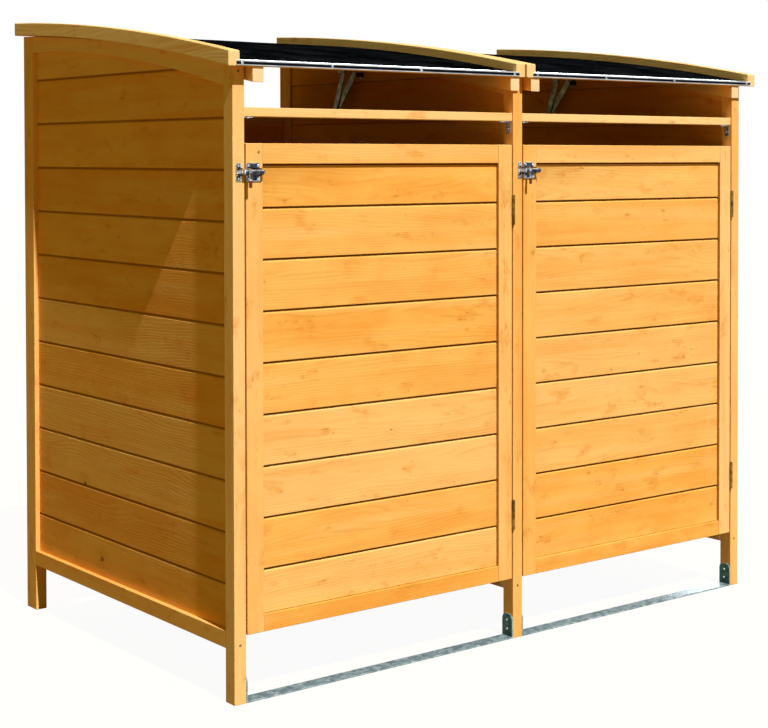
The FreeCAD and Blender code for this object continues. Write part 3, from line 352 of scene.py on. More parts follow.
# painted dark reflection for the slide bolts' broad front faces and undersides
zinc_painted_dark_reflection = plated_metal("zinc-plated steel painted dark as reflection", "#4B515B", "#1E2127", 0.3, 8.0, 0.5, 0.25)
yellow_zinc = plated_metal("yellow-passivated zinc plate", "#655B38", "#3F3A22", 0.34, 14.0, 0.5, 0.2)
brass_plate = plated_metal("brass-plated steel", "#9C7B3A", "#5E4720", 0.36, 12.0, 0.5, 0.25)
# painted shade for the broad side faces of the threshold bars' upturned ends
zinc_painted_leg_shade = plated_metal("darker zinc plate as painted shade", "#3F5E50", "#2C463B", 0.42, 9.0, 0.6, 0.2)
galvanised = galvanised_steel()
grip_plastic = dipped_grip()


# Modelling helpers

def only(piece):
    """Select and activate one object and nothing else."""
    bpy.ops.object.select_all(action="DESELECT")
    piece.select_set(True)
    bpy.context.view_layer.objects.active = piece


def settle():
    """Put the new primitive's place into its mesh."""
    bpy.ops.object.transform_apply(location=True, rotation=True, scale=True)
    return bpy.context.object


def start_block(low, high):
    """A block between two corners in millimetres, to be shaped further."""
    bpy.ops.object.select_all(action="DESELECT")
    low, high = Vector(low) * MM, Vector(high) * MM
    bpy.ops.mesh.primitive_cube_add(size=1, location=(low + high) / 2, scale=high - low)
    return settle()


def start_sheet(middle, wide, high, turn=(0, 0, 0)):
    """A flat rectangle round a point in millimetres, to be spun or bent."""
    bpy.ops.object.select_all(action="DESELECT")
    bpy.ops.mesh.primitive_plane_add(size=1, location=Vector(middle) * MM, rotation=turn)
    bpy.context.object.scale = (wide * MM, high * MM, 1)
    return settle()


def start_round(start, end, radius, sides=32):
    """A round bar between two points in millimetres, to be shaped further."""
    bpy.ops.object.select_all(action="DESELECT")
    start, end = Vector(start) * MM, Vector(end) * MM
    turn = (end - start).to_track_quat("Z", "Y").to_euler()
    bpy.ops.mesh.primitive_cylinder_add(vertices=sides, radius=radius * MM, depth=(end - start).length,
                                        location=(start + end) / 2, rotation=turn)
    return settle()


def pick(kind, test):
    """In edit mode, select the faces or edges whose middle in millimetres and direction pass a test."""
    bpy.ops.mesh.select_mode(type=kind)
    bpy.ops.mesh.select_all(action="DESELECT")
    shape = bmesh.from_edit_mesh(bpy.context.object.data)
    if kind == "FACE":
        chosen = [f for f in shape.faces if test(f.calc_center_median() / MM, f.normal)]
    else:
        ends = [(e, e.verts[0].co, e.verts[1].co) for e in shape.edges]
        chosen = [e for e, a, b in ends if test((a + b) / 2 / MM, (b - a).normalized())]
    for part in chosen:
        part.select_set(True)
    bmesh.update_edit_mesh(bpy.context.object.data)


def edit(on=True):
    bpy.ops.object.mode_set(mode="EDIT" if on else "OBJECT")


def extrude(x=0.0, y=0.0, z=0.0):
    bpy.ops.mesh.extrude_region_move(TRANSFORM_OT_translate={"value": (x * MM, y * MM, z * MM)})


def round_corners(test, radius, segments=5):
    """In edit mode, round off the edges that pass a test."""
    pick("EDGE", test)
    bpy.ops.mesh.bevel(offset=radius * MM, segments=segments, affect="EDGES")


def score(axis, place):
    """In edit mode, draw an edge line round the whole shape where it crosses a plane, in millimetres."""
    bpy.ops.mesh.select_all(action="SELECT")
    bpy.ops.mesh.bisect(plane_co=[place * MM if name == axis else 0.0 for name in "xyz"],
                        plane_no=[1.0 if name == axis else 0.0 for name in "xyz"])


def soften(piece, width, segments=2, angle=30):
    """Take the sharpness off a piece's edges, as tooling or sanding does."""
    only(piece)
    eased = piece.modifiers.new("softened edges", "BEVEL")
    eased.width = width * MM
    eased.segments = segments
    eased.angle_limit = math.radians(angle)
    eased.use_clamp_overlap = True
    bpy.ops.object.modifier_apply(modifier=eased.name)
    bpy.ops.object.shade_smooth_by_angle(angle=math.radians(50))
    # the broad faces stay truly flat, and only the softened edges turn the light
    flat = piece.modifiers.new("flat broad faces", "WEIGHTED_NORMAL")
    flat.weight = 100
    flat.keep_sharp = True
    bpy.ops.object.modifier_apply(modifier=flat.name)


def join(pieces):
    """Make several shapes one piece."""
    only(pieces[0])
    for piece in pieces[1:]:
        piece.select_set(True)
    bpy.ops.object.join()
    return bpy.context.object


def two_finishes(piece, most, some, chosen):
    """Finish a piece, with another finish on the faces that pass a test."""
    piece.data.materials.clear()
    piece.data.materials.append(most)
    piece.data.materials.append(some)
    for polygon in piece.data.polygons:
        polygon.material_index = 1 if chosen(polygon) else 0


def fit(piece, name, finish, body, node):
    """Name and finish a piece, hang it on its moving body and let it stand for a measured node."""
    piece.name = name
    piece.data.name = name
    if finish:
        piece.data.materials.clear()
        piece.data.materials.append(finish)
    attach(piece, body)
    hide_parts(node)


def copy_of(node):
    """A loose copy of a measured node's mesh, with each solid's points shared and no two solids joined."""
    source = frame["nodes"][node].data
    shape = bmesh.new()
    corners = {}
    open_edges = set()
    for polygon in source.polygons:
        points = [tuple(source.vertices[index].co) for index in polygon.vertices]
        for point in points:
            if point not in corners:
                corners[point] = shape.verts.new(point)
        shape.faces.new([corners[point] for point in points])
        for edge in zip(points, points[1:] + points[:1]):
            if edge[::-1] in open_edges:
                open_edges.remove(edge[::-1])
            else:
                open_edges.add(edge)
        # the faces come solid by solid, and a solid with no open edge left is complete
        if not open_edges:
            corners = {}
    mesh = bpy.data.meshes.new(node)
    shape.to_mesh(mesh)
    shape.free()
    piece = bpy.data.objects.new(node, mesh)
    bpy.context.scene.collection.objects.link(piece)
    only(piece)
    edit()
    bpy.ops.mesh.select_all(action="SELECT")
    bpy.ops.mesh.dissolve_limited(angle_limit=math.radians(0.3))
    edit(False)
    return piece


def islands(shape):
    """The separate solids of a mesh, as lists of vertices."""
    left = set(shape.verts)
    while left:
        solid = [left.pop()]
        for vert in solid:
            for edge in vert.link_edges:
                other = edge.other_vert(vert)
                if other in left:
                    left.remove(other)
                    solid.append(other)
        yield solid


# Timbers: each keeps its measured shape and gets eased edges and a grain of its own

def draw_grain(piece, along, seed, tones, ends, shaded):
    """Write on each board its own grain coordinates and tone, and mark its sawn ends and the faces that get
    painted shade.
    """
    order = {"x": (0, 2, 1), "y": (1, 2, 0), "z": (2, 0, 1)}[along]
    shape = bmesh.new()
    shape.from_mesh(piece.data)
    grain = shape.verts.layers.float_vector.new("grain")
    tone = shape.verts.layers.float.new("board_tone")
    sawn = shape.faces.layers.float.new("sawn_end")
    painted_shade_mark = shape.faces.layers.float.new("painted_joint_shade")
    boards = sorted(islands(shape),
                    key=lambda board: min((round(v.co.z, 3), round(v.co.x, 3)) for v in board))
    for number, board in enumerate(boards):
        key = Vector((seed * 3.7 + number * 1.91, number * 0.73 + 0.31, seed * 1.3))
        chance = [noise.cell(key + Vector((i * 5.3, i * 2.9, 0))) for i in range(5)]
        middle = sum((v.co for v in board), Vector()) / len(board)
        offset = Vector((chance[0] * 9.0, (chance[1] - 0.5) * 0.09, 0.012 + chance[2] * 0.07))
        for vert in board:
            local = vert.co - middle
            vert[grain] = Vector((local[order[0]], local[order[1]], local[order[2]])) + offset
            vert[tone] = tones[0] + (tones[1] - tones[0]) * chance[3]
    for face in shape.faces:
        face[sawn] = ends if abs(face.normal[order[0]]) > 0.9 else 0.0
        face[painted_shade_mark] = shaded(face.calc_center_median() / MM, face.normal)
    shape.to_mesh(piece.data)
    shape.free()


def painted_lap_shade(middle, normal):
    """Painted shade in the laps between boards: the down-facing faces and the upward faces inside the gap.
    """
    return 1.0 if normal.z < -0.3 or normal.z > 0.95 else 0.0


def painted_side_lap_shade(middle, normal):
    """The side boards' laps get a lighter painted shade than the doors'."""
    return 0.6 * painted_lap_shade(middle, normal)


def timber(node, along, seed, ease=1.2, tones=(-0.1, 0.25), ends=0.4, shaded=lambda middle, normal: 0.0):
    """Ease the edges of a node's timbers and draw their grain."""
    piece = copy_of(node)
    soften(piece, ease)
    draw_grain(piece, along, seed, tones, ends, shaded)
    fit(piece, node + "_timber", pine, frame["nodes"][node]["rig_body"], node)


PAINTED_SHADOW_BAND = 3.2


def door_boards(side, seed):
    """The door's boards, with painted shadow on a band of their front faces just under the top rail, and
    painted shade in their laps.
    """
    node = side + "_door_boards"
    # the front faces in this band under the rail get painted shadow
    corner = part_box(side + "_door_top_rail")[0][2] / MM - PAINTED_SHADOW_BAND
    piece = copy_of(node)
    soften(piece, 1.1)
    edit()
    score("z", corner)
    edit(False)
    draw_grain(piece, "x", seed, (-0.2, 0.08), 0.4, lambda middle, normal: 1.0
               if painted_lap_shade(middle, normal) or normal.y < -0.9 and middle.z > corner else 0.0)
    fit(piece, node + "_timber", pine, side + "_door", node)


seed = 1
for side in ("left", "middle", "right"):
    for part, along in (("front_post", "z"), ("back_post", "z"), ("bottom_rail", "y"), ("arched_rail", "y")):
        timber("%s_%s" % (side, part), along, seed, tones=(-0.5, -0.1))
        seed += 1
    timber(side + "_side_boards", "y", seed, ease=1.4, tones=(0.0, 0.28), shaded=painted_side_lap_shade)
    seed += 1
for node, along in (("back_uprights", "z"), ("back_panel_rails", "x"), ("hinge_rails", "x"),
                    ("front_rails", "x")):
    timber(node, along, seed, tones=(-1.0, -0.8) if node == "front_rails" else (-0.2, 0.4))
    seed += 1
# the back boards get the deepest tones: painted shade for the dark inside of the bays
timber("back_boards", "x", seed, ease=0.4, tones=(0.45, 0.75), shaded=painted_lap_shade)
for side in ("left", "right"):
    seed += 10
    low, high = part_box(side + "_door_stiles")
    middle_x = (low[0] + high[0]) / 2 / MM
    # painted shade on the stiles' inner side faces, beside the recessed boards
    timber(side + "_door_stiles", "z", seed, tones=(-0.45, -0.1), shaded=lambda middle, normal: 0.6
           if normal.x * (middle_x - middle.x) > 0.0 and abs(normal.x) > 0.9 else 0.0)
    timber(side + "_door_top_rail", "x", seed + 1, tones=(-0.5, -0.2))
    timber(side + "_door_bottom_rail", "x", seed + 2)
    door_boards(side, seed + 3)
    timber(side + "_lid_barges", "y", seed + 4, ease=2.0, tones=(-1.0, -1.0), ends=0.2)
    timber(side + "_lid_ribs", "y", seed + 5, tones=(-0.3, 0.1), ends=0.8)
    timber(side + "_lid_battens", "x", seed + 6, ease=0.8)


# Screws: one pan head and one countersunk head, copied to every screw's place

HEAD_RADIUS = 2.8


def screw_model(head_high, rim):
    """A screw standing on +Z with its head's top at the origin: rounded rim, cross recess, tapered shank."""
    screw = start_round((0, 0, -head_high), (0, 0, 0), HEAD_RADIUS, sides=20)
    edit()
    round_corners(lambda middle, way: abs(middle.z) < 0.01, rim, segments=3)
    pick("FACE", lambda middle, normal: normal.z < -0.9)
    bpy.ops.mesh.inset(thickness=1.3 * MM)
    extrude(z=-5.0)
    bpy.ops.transform.resize(value=(0.35, 0.35, 1.0))
    edit(False)
    bar = start_block((-1.75, -0.32, -0.75), (1.75, 0.32, 0.4))
    edit()
    for sign in (1, -1):
        pick("FACE", lambda middle, normal: normal.y * sign > 0.9)
        bpy.ops.mesh.inset(thickness=0.3 * MM)
        bpy.ops.mesh.select_all(action="DESELECT")
    edit(False)
    cross_bar = start_block((-0.32, -1.75, -0.75), (0.32, 1.75, 0.4))
    for tool in (bar, cross_bar):
        only(screw)
        recess = screw.modifiers.new("cross recess", "BOOLEAN")
        recess.operation = "DIFFERENCE"
        recess.object = tool
        bpy.ops.object.modifier_apply(modifier=recess.name)
        bpy.data.objects.remove(tool)
    only(screw)
    bpy.ops.object.shade_smooth_by_angle(angle=math.radians(35))
    return screw


pan_screw = screw_model(1.2, 0.8)
sunk_screw = screw_model(1.3, 0.25)


def take_screws(piece):
    """Remove the plain screws from a copied node and say where each stood: its top and its way out."""
    shape = bmesh.new()
    shape.from_mesh(piece.data)
    places = []
    for solid in list(islands(shape)):
        points = [v.co / MM for v in solid]
        low = Vector([min(p[i] for p in points) for i in range(3)])
        high = Vector([max(p[i] for p in points) for i in range(3)])
        size = high - low
        long = max(range(3), key=lambda i: size[i])
        if max(abs(size[i] - 2 * HEAD_RADIUS) for i in range(3) if i != long) > 0.1:
            continue
        middle = (low + high) / 2
        cross = [i for i in range(3) if i != long]
        rim = [p[long] for p in points
               if math.dist([p[i] for i in cross], [middle[i] for i in cross]) > HEAD_RADIUS - 0.3]
        head_mean = sum(rim) / len(rim)
        head_high = max(rim) - min(rim)
        way = Vector((0, 0, 0))
        way[long] = 1.0 if head_mean > middle[long] else -1.0
        top = middle.copy()
        top[long] = high[long] if way[long] > 0 else low[long]
        places.append((top, way, head_high > 1.25))
        bmesh.ops.delete(shape, geom=solid, context="VERTS")
    shape.to_mesh(piece.data)
    shape.free()
    return places


def set_screws(places, name, finish, body, node):
    """Copy the modelled screws to their places, each turned a little differently."""
    copies = []
    for top, way, sunk in places:
        model = sunk_screw if sunk else pan_screw
        screw = model.copy()
        screw.data = model.data.copy()
        turn = Vector((0, 0, 1)).rotation_difference(way).to_matrix().to_4x4()
        spin = Matrix.Rotation(noise.cell(top * 0.37) * math.pi, 4, "Z")
        screw.data.transform(Matrix.Translation(top * MM) @ turn @ spin)
        bpy.context.scene.collection.objects.link(screw)
        copies.append(screw)
    fit(join(copies), name, finish, body, node)


def plain_fitting(node, finish, ease=0.3):
    """Ease a measured fitting's edges, and give its screws modelled heads."""
    body = frame["nodes"][node]["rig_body"]
    piece = copy_of(node)
    places = take_screws(piece)
    if places:
        set_screws(places, node + "_screws", bright_zinc, body, node)
    if not piece.data.vertices:
        bpy.data.objects.remove(piece)
        return
    soften(piece, ease)
    fit(piece, node + "_metal", finish, body, node)


plain_fitting("frame_screws", bright_zinc)
plain_fitting("hinge_frame_leaves", brass_plate)
plain_fitting("stay_frame_brackets", yellow_zinc)
for side in ("left", "right"):
    plain_fitting(side + "_door_hinge_leaves", brass_plate)
    plain_fitting(side + "_lid_hinge_leaves", brass_plate)
    plain_fitting(side + "_lid_stay_bracket", yellow_zinc)


# Slide bolts

BOLT_Y = FRONT - 9
BOLT_RADIUS = 5.5
STRAP_WALL = 1.5
STRAP_SHY = 0.3
PLATE_THICK = 1.5
PLATE_HALF = 17
KEEPER_WIDE = 11
KEEPER_PLAY = 0.3
CASE_WIDE = 28.5
CASE_PLAY = 0.1
# from the drawn bolt's tip: back to the keeper, and on to the collar and the case's strap
TIP_GAP = 0.8
COLLAR_START = 8.5
CASE_STRAP_START = 19.5
ROD_LONG = 40.5
TAPER_LONG = 3.5
TAIL_LONG = 2.0
COLLAR_WIDE = 5.5
COLLAR_RADIUS = 7.0
COLLAR_PLAY = 0.06
# down from the bolt's middle: the line scored on the lever, the grip's top and the rounded tip
LEVER_LINE = 16
GRIP_TOP = 15.5
LEVER_TIP = 28.9


def bolt_plate(x, wide):
    """A pressed plate with rounded corners and a shallow rolled border."""
    piece = start_block((x, FRONT - PLATE_THICK, LATCH_HEIGHT - PLATE_HALF),
                        (x + wide, FRONT, LATCH_HEIGHT + PLATE_HALF))
    edit()
    round_corners(lambda middle, way: abs(way.y) > 0.9, 2.2, segments=4)
    pick("FACE", lambda middle, normal: normal.y < -0.9)
    bpy.ops.mesh.inset(thickness=0.7 * MM)
    bpy.ops.mesh.inset(thickness=0.5 * MM, depth=-0.35 * MM)
    edit(False)
    return piece


def bolt_strap(x, wide, bore):
    """A strap spun half round the bolt's door side, with its cheeks drawn on through it to the plate.

    The measured solid's strap passes over the bolt's front instead.
    """
    start = (x + wide / 2, BOLT_Y, LATCH_HEIGHT + bore + STRAP_WALL / 2)
    piece = start_sheet(start, wide, STRAP_WALL, turn=(math.radians(90), 0, 0))
    edit()
    bpy.ops.mesh.select_all(action="SELECT")
    bpy.ops.mesh.spin(steps=16, angle=math.pi, center=(x * MM, BOLT_Y * MM, LATCH_HEIGHT * MM),
                      axis=(1, 0, 0))
    bpy.ops.mesh.select_all(action="SELECT")
    bpy.ops.mesh.remove_doubles(threshold=0.01 * MM)
    bpy.ops.mesh.fill_holes(sides=4)
    bpy.ops.mesh.normals_make_consistent(inside=False)
    pick("FACE", lambda middle, normal: abs(normal.y) > 0.9 and abs(middle.y - BOLT_Y) < 0.01)
    extrude(y=FRONT - BOLT_Y - STRAP_SHY)
    bpy.ops.mesh.select_all(action="SELECT")
    bpy.ops.mesh.normals_make_consistent(inside=False)
    edit(False)
    return piece


def bolt_rod(tip):
    """The bolt: a rounded tip at the keeper, and a tapered tail behind the case."""
    piece = start_round((tip, BOLT_Y, LATCH_HEIGHT), (tip + ROD_LONG, BOLT_Y, LATCH_HEIGHT), BOLT_RADIUS)
    edit()
    round_corners(lambda middle, way: middle.x < tip + 0.01, 1.6, segments=4)
    pick("FACE", lambda middle, normal: normal.x > 0.9 and middle.x > tip + ROD_LONG - 0.5)
    extrude(x=TAPER_LONG)
    bpy.ops.transform.resize(value=(1, 0.55, 0.55))
    extrude(x=TAIL_LONG)
    end = tip + ROD_LONG + TAPER_LONG + TAIL_LONG
    round_corners(lambda middle, way: middle.x > end - 0.1, 1.2, segments=3)
    edit(False)
    soften(piece, 0.2)
    return piece


def bolt_handle(start):
    """A bored collar with a lever that leans out from it and then hangs straight, its tip round."""
    collar = start_round((start, BOLT_Y, LATCH_HEIGHT), (start + COLLAR_WIDE, BOLT_Y, LATCH_HEIGHT),
                         COLLAR_RADIUS)
    edit()
    pick("FACE", lambda middle, normal: abs(normal.x) > 0.9)
    bpy.ops.mesh.inset(thickness=(COLLAR_RADIUS - BOLT_RADIUS - COLLAR_PLAY) * MM)
    bpy.ops.mesh.bridge_edge_loops()
    edit(False)
    middle_x = start + COLLAR_WIDE / 2
    lever = start_block((middle_x - 2.6, BOLT_Y - 6.9, LATCH_HEIGHT - 6),
                        (middle_x + 2.6, BOLT_Y - 4.2, LATCH_HEIGHT + 1))
    edit()
    pick("FACE", lambda middle, normal: normal.z < -0.9)
    extrude(x=-0.8, y=-1.6, z=-7)
    extrude(x=-0.4, y=-0.2, z=-3)
    bpy.ops.transform.resize(value=(1.2, 1, 1))
    extrude(z=-13)
    score("z", LATCH_HEIGHT - LEVER_LINE)
    round_corners(lambda middle, way: abs(way.y) > 0.9 and middle.z < LATCH_HEIGHT - LEVER_TIP, 3.0,
                  segments=6)
    edit(False)
    soften(lever, 0.7, segments=3)
    return join([collar, lever])


def painted_gleam_faces(polygon):
    """Painted reflection: the broad front faces and the undersides take the dark plating colour, and the
    rims, rounds and edges the bright one, as painted highlights.
    """
    broad = polygon.area > 20 * MM * MM and polygon.normal.y < -0.95
    under = polygon.area > 4 * MM * MM and polygon.normal.z < -0.3
    return not (broad or under)


def slide_bolt(side, keeper_x, case_x):
    """Keeper, case, bolt and handle of one door."""
    tip = keeper_x + KEEPER_WIDE + TIP_GAP
    keeper = join([bolt_plate(keeper_x, KEEPER_WIDE),
                   bolt_strap(keeper_x, KEEPER_WIDE, BOLT_RADIUS + KEEPER_PLAY)])
    soften(keeper, 0.25)
    # broad front faces and undersides painted dark as reflection, rims and edges painted bright as
    # highlights
    two_finishes(keeper, zinc_painted_dark_reflection, bright_zinc, painted_gleam_faces)
    fit(keeper, side + "_keeper", None, "frame", "bolt_keepers")
    strap_x = tip + CASE_STRAP_START
    case = join([bolt_plate(case_x, CASE_WIDE),
                 bolt_strap(strap_x, case_x + CASE_WIDE - strap_x, BOLT_RADIUS + CASE_PLAY)])
    soften(case, 0.25)
    two_finishes(case, zinc_painted_dark_reflection, bright_zinc, painted_gleam_faces)
    fit(case, side + "_case", None, side + "_door", side + "_bolt_case")
    rod = bolt_rod(tip)
    two_finishes(rod, zinc_painted_dark_reflection, bright_zinc, painted_gleam_faces)
    fit(rod, side + "_bolt_rod", None, side + "_bolt", side + "_bolt")
    handle = bolt_handle(tip + COLLAR_START)
    soften(handle, 0.2)
    two_finishes(handle, zinc_painted_dark_reflection, bright_zinc, painted_gleam_faces)
    handle.data.materials.append(grip_plastic)
    for polygon in handle.data.polygons:
        if polygon.center.z < (LATCH_HEIGHT - GRIP_TOP) * MM:
            polygon.material_index = 2
    fit(handle, side + "_turning_handle", None, side + "_handle", side + "_bolt_handle")
    spare = copy_of(side + "_bolt_case")
    set_screws(take_screws(spare), side + "_case_screws", bright_zinc, side + "_door", side + "_bolt_case")
    bpy.data.objects.remove(spare)


slide_bolt("left", LEFT_FRAME + 6, BAYS["left"] + 3.5)
slide_bolt("right", MIDDLE_FRAME + 12, BAYS["right"] + 3.5)


# Angle brackets under the front rails

ANGLE_WALL = 2
ANGLE_LEG = 26
ANGLE_WIDE = 14
ANGLE_SETBACK = 8


def rail_bracket(post_face, inward):
    """A bent angle with rounded ends: one leg under the rail, one down the post."""
    y = FRONT + ANGLE_SETBACK
    wall = sorted((post_face, post_face + inward * ANGLE_WALL))
    piece = start_block((wall[0], y, RAIL_LOW - ANGLE_WALL), (wall[1], y + ANGLE_WIDE, RAIL_LOW))
    edit()
    pick("FACE", lambda middle, normal: normal.x * inward > 0.9)
    extrude(x=(ANGLE_LEG - ANGLE_WALL) * inward)
    pick("FACE", lambda middle, normal: normal.z < -0.9 and wall[0] < middle.x < wall[1])
    extrude(z=ANGLE_WALL - ANGLE_LEG)
    round_corners(lambda middle, way: abs(way.z) > 0.9
                  and (middle.x - post_face) * inward > ANGLE_LEG - 0.1, 4)
    round_corners(lambda middle, way: abs(way.x) > 0.9 and middle.z < RAIL_LOW - ANGLE_LEG + 0.1, 4)
    edit(False)
    soften(piece, 0.35)
    return piece


brackets = []
for bay in BAYS.values():
    brackets.append(rail_bracket(bay, 1))
    brackets.append(rail_bracket(bay + BAY_WIDE, -1))
fit(join(brackets), "front_rail_angles", bright_zinc, "frame", "rail_brackets")


# Threshold bars

BAR_THICK = 3
BAR_END_HIGH = 50


def threshold_bar(bay):
    """A flat bar on the ground, both ends turned up the posts and their corners rounded."""
    far = bay + BAY_WIDE
    piece = start_block((bay, FRONT, 0), (far, FRONT + POST_DEEP, BAR_THICK))
    edit()
    for x in (bay + BAR_THICK, far - BAR_THICK):
        score("x", x)
    pick("FACE", lambda middle, normal: normal.z > 0.9 and not bay + BAR_THICK < middle.x < far - BAR_THICK)
    extrude(z=BAR_END_HIGH - BAR_THICK)
    round_corners(lambda middle, way: abs(way.x) > 0.9 and middle.z > BAR_END_HIGH - 0.1, 12, segments=7)
    round_corners(lambda middle, way: abs(way.y) > 0.9 and middle.z < 0.01
                  and (middle.x < bay + 0.01 or middle.x > far - 0.01), 2.5, segments=4)
    edit(False)
    soften(piece, 0.5)
    # the upturned ends' broad side faces take the darker green-grey zinc: painted shade
    two_finishes(piece, galvanised, zinc_painted_leg_shade,
                 lambda polygon: abs(polygon.normal.x) > 0.95 and polygon.center.z > BAR_THICK * MM)
    return piece


fit(join([threshold_bar(bay) for bay in BAYS.values()]), "threshold_bars", None, "frame", "thresholds")


# Roofs: a rippled sheet on the battens, with a metal strip along its front edge

BATTEN = 8
SHEET = 2
SHEET_SHORT = 6
CALM_EDGE = 40
STRIP_THICK = 1.2
STRIP_SPARE = 8
STRIP_LIP = 8.8
LOW_BEAD = 1.6
STRIP_SUNK = 0.45


def roof_sheet(side):
    """Extruded sheet laid over the curve, pulled a little uneven between its battens."""
    deck = DECKS[side]
    deep = BACK - SHEET_SHORT - LID_START
    piece = start_sheet((deck + DECK_WIDE / 2, LID_START + deep / 2, 0), DECK_WIDE, deep)
    edit()
    bpy.ops.mesh.select_all(action="SELECT")
    bpy.ops.mesh.subdivide(number_cuts=79)
    edit(False)
    for vert in piece.data.vertices:
        x, y = vert.co.x / MM, vert.co.y / MM
        swell = noise.noise(Vector((x * 0.006, y * 0.02, 3.0)))
        ripple = swell + 0.5 * noise.noise(Vector((x * 0.02, y * 0.05, 8.0)))
        inside = min(x - deck, deck + DECK_WIDE - x, y - LID_START)
        edge = min(1.0, inside / CALM_EDGE)
        vert.co.z = (lid_line(y, BATTEN + SHEET) - 0.5 * edge * max(0.0, 0.9 + ripple)) * MM
    only(piece)
    wall = piece.modifiers.new("sheet thickness", "SOLIDIFY")
    wall.thickness = 1.1 * MM
    wall.offset = -1
    bpy.ops.object.modifier_apply(modifier=wall.name)
    bpy.ops.object.shade_smooth_by_angle(angle=math.radians(35))
    return piece


def edge_strip(side):
    """An angle strip: a lip on the sheet, a sunk face painted dark as a reflection, and a bright bead above
    and below it.
    """
    deck = DECKS[side]
    line = lid_line(LID_START)
    low, top = line + 2, line + BATTEN + SHEET + STRIP_THICK
    face = LID_START - STRIP_THICK
    bead_low, lip_low, bead_top = low + LOW_BEAD, top - STRIP_THICK, top - 2 * STRIP_THICK
    piece = start_block((deck - STRIP_SPARE, face, low), (deck + DECK_WIDE + STRIP_SPARE, LID_START, top))
    edit()
    for x in (deck, deck + DECK_WIDE):
        score("x", x)
    for z in (bead_low, lip_low, bead_top):
        score("z", z)
    pick("FACE", lambda middle, normal: normal.y > 0.9 and middle.z > lip_low
         and deck < middle.x < deck + DECK_WIDE)
    extrude(y=STRIP_LIP, z=lid_line(LID_START + STRIP_LIP) - line)
    pick("FACE", lambda middle, normal: normal.y < -0.9 and bead_low < middle.z < bead_top)
    extrude(y=STRIP_SUNK)
    edit(False)
    soften(piece, 0.25)
    # the sunk front face gets the dark finish: painted reflection
    two_finishes(piece, mill_aluminium, aluminium_painted_dark_reflection, lambda polygon: polygon.normal.y < -0.9
                 and (face + 0.3) * MM < polygon.center.y < LID_START * MM)
    return piece


for side in ("left", "right"):
    fit(roof_sheet(side), side + "_roof", roofing, side + "_lid", side + "_lid_sheet")
    fit(edge_strip(side), side + "_edge_strip", None, side + "_lid", side + "_lid_trim")
    spare = copy_of(side + "_lid_trim")
    set_screws(take_screws(spare), side + "_strip_screws", bright_zinc, side + "_lid", side + "_lid_trim")
    bpy.data.objects.remove(spare)


# Lid stays: two flat arms folded at a riveted elbow

ARM_THICK = 2
ARM_HALF = 8
RIVET_HIGH = 1.2
RIVET_RADIUS = 5


def stay_arm(x, start, end, rivets):
    """A flat bar with round ends between two points of the side view, and its domed rivets."""
    run = Vector((end[0] - start[0], end[1] - start[1]))
    piece = start_block((x, -ARM_HALF, -ARM_HALF), (x + ARM_THICK, run.length + ARM_HALF, ARM_HALF))
    edit()
    round_corners(lambda middle, way: abs(way.x) > 0.9, 7.9, segments=8)
    bpy.ops.mesh.select_all(action="SELECT")
    bpy.ops.transform.rotate(value=-math.atan2(run.y, run.x), orient_axis="X", center_override=(0, 0, 0))
    bpy.ops.transform.translate(value=(0, start[0] * MM, start[1] * MM))
    edit(False)
    soften(piece, 0.3)
    shapes = [piece]
    for place, side_x in rivets:
        dome = start_round((side_x, place[0], place[1]), (side_x - RIVET_HIGH, place[0], place[1]),
                           RIVET_RADIUS, sides=24)
        edit()
        round_corners(lambda middle, way: middle.x < side_x - RIVET_HIGH + 0.01, 1.0, segments=3)
        edit(False)
        soften(dome, 0.1)
        shapes.append(dome)
    return join(shapes)


# each pivot's depth behind the front, and its height under the lid's line or under the frame's pivot
FRAME_PIVOT_Y = FRONT + 550
FRAME_PIVOT = (FRAME_PIVOT_Y, lid_line(FRAME_PIVOT_Y) - 53.5)
LID_PIVOT_Y = FRONT + 586
LID_PIVOT = (LID_PIVOT_Y, lid_line(LID_PIVOT_Y) - 40.8)
ELBOW = (FRONT + 628, FRAME_PIVOT[1] - 89)
LOWER_ARM_INSET = 17.4
UPPER_ARM_INSET = 20
STAY_FRAMES = {"left": MIDDLE_FRAME, "right": RIGHT_FRAME}
for side, frame_x in STAY_FRAMES.items():
    fit(stay_arm(frame_x - LOWER_ARM_INSET, FRAME_PIVOT, ELBOW, []), side + "_lower_arm", yellow_zinc,
        side + "_frame_arm", side + "_stay_frame_arm")
    upper_x = frame_x - UPPER_ARM_INSET
    fit(stay_arm(upper_x, LID_PIVOT, ELBOW, [(ELBOW, upper_x)]), side + "_upper_arm", yellow_zinc,
        side + "_lid_arm", side + "_stay_lid_arm")

for model in (pan_screw, sunk_screw):
    bpy.data.objects.remove(model)


# Studio: a pale floor, a high key lamp in front, a soft one behind, and a white surround

FLOOR_GLOW = 1.27
FLOOR_SHARE = 0.75
SURROUND_LIGHT = 0.16


def seen_rays(tree):
    """1 for rays that show a surface to the camera, direct, mirrored or through glass, and 0 for light."""
    rays = add_node(tree, "LightPath", out=None)
    mirrored = add_node(tree, "Math", (rays["Is Glossy Ray"], rays["Is Transmission Ray"]),
                        operation="MAXIMUM")
    return add_node(tree, "Math", (rays["Is Camera Ray"], mirrored), operation="MAXIMUM")


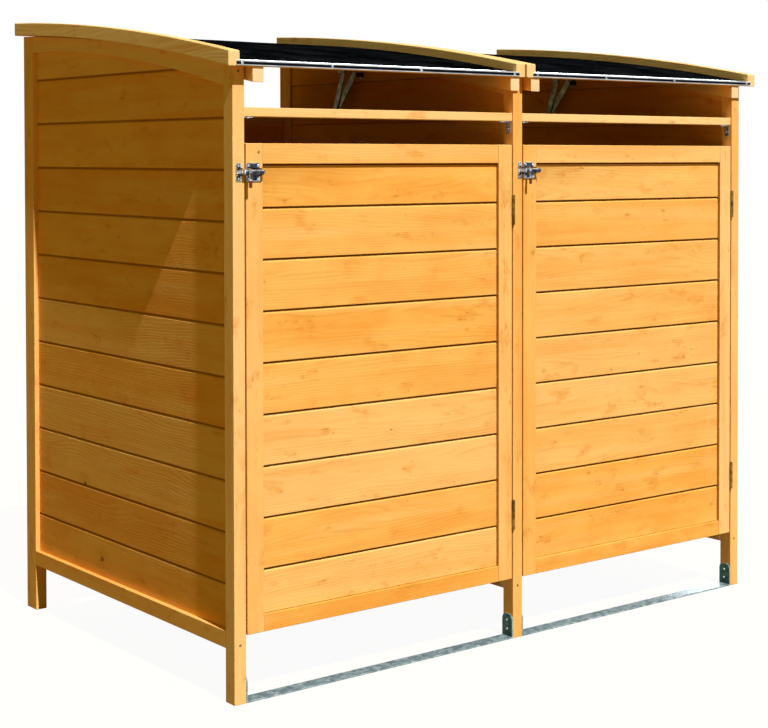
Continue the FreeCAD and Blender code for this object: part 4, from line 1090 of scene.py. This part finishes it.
bpy.ops.object.select_all(action="DESELECT")
bpy.ops.mesh.primitive_plane_add(size=60, location=(0, 0, 0))
floor = bpy.context.object
floor.name = "studio_floor"
paint, tree, shader = new_material("matt pale studio paint")
shader.inputs["Base Color"].default_value = lin("#7E6C3C")
shader.inputs["Roughness"].default_value = 0.9
shader.inputs["Specular IOR Level"].default_value = 0.1
glow = add_node(tree, "Emission", {"Color": (1, 1, 1, 1), "Strength": FLOOR_GLOW})
share = add_node(tree, "Math", (seen_rays(tree), FLOOR_SHARE), operation="MULTIPLY")
surface = add_node(tree, "MixShader", (share, shader.outputs[0], glow))
tree.links.new(surface, tree.nodes["Material Output"].inputs["Surface"])
floor.data.materials.append(paint)

world = bpy.data.worlds.new("white surround")
bpy.context.scene.world = world
world.use_nodes = True
tree = world.node_tree
backdrop = tree.nodes["Background"]
seen = seen_rays(tree)
sky = add_node(tree, "Mix", {0: seen, 6: lin("#FFF25C"), 7: lin("#FFFFFF")}, out=2, data_type="RGBA")
tree.links.new(sky, backdrop.inputs["Color"])
strength = add_node(tree, "MapRange", (seen, 0.0, 1.0, SURROUND_LIGHT, 1.0))
tree.links.new(strength, backdrop.inputs["Strength"])

bpy.ops.object.light_add(type="SUN", location=(-0.5, -4.0, 5.0))
key = bpy.context.object
key.name = "key_light"
key.data.energy = 4.1
key.data.angle = math.radians(0.8)
key.rotation_euler = Vector((-0.078, -1.0, 1.24)).to_track_quat("Z", "Y").to_euler()

# a soft second lamp keeps the back and the right side readable, away from the faces that the camera sees
bpy.ops.object.light_add(type="SUN", location=(4.0, 4.0, 3.0))
rear = bpy.context.object
rear.name = "rear_fill"
rear.data.energy = 1.3
rear.data.angle = math.radians(20)
rear.rotation_euler = Vector((0.9, 1.0, 0.6)).to_track_quat("Z", "Y").to_euler()

bpy.ops.object.camera_add(location=(-2.25537, -3.06939, 1.00739),
                          rotation=(math.radians(88.613), 0, math.radians(-39.965)))
camera = bpy.context.object
camera.data.sensor_width = 36.0
camera.data.lens = 78.063
camera.data.shift_x = -0.15104
camera.data.shift_y = -0.21751
camera.data.clip_end = 100.0
bpy.context.scene.camera = camera
bpy.context.scene.view_settings.view_transform = "Standard"
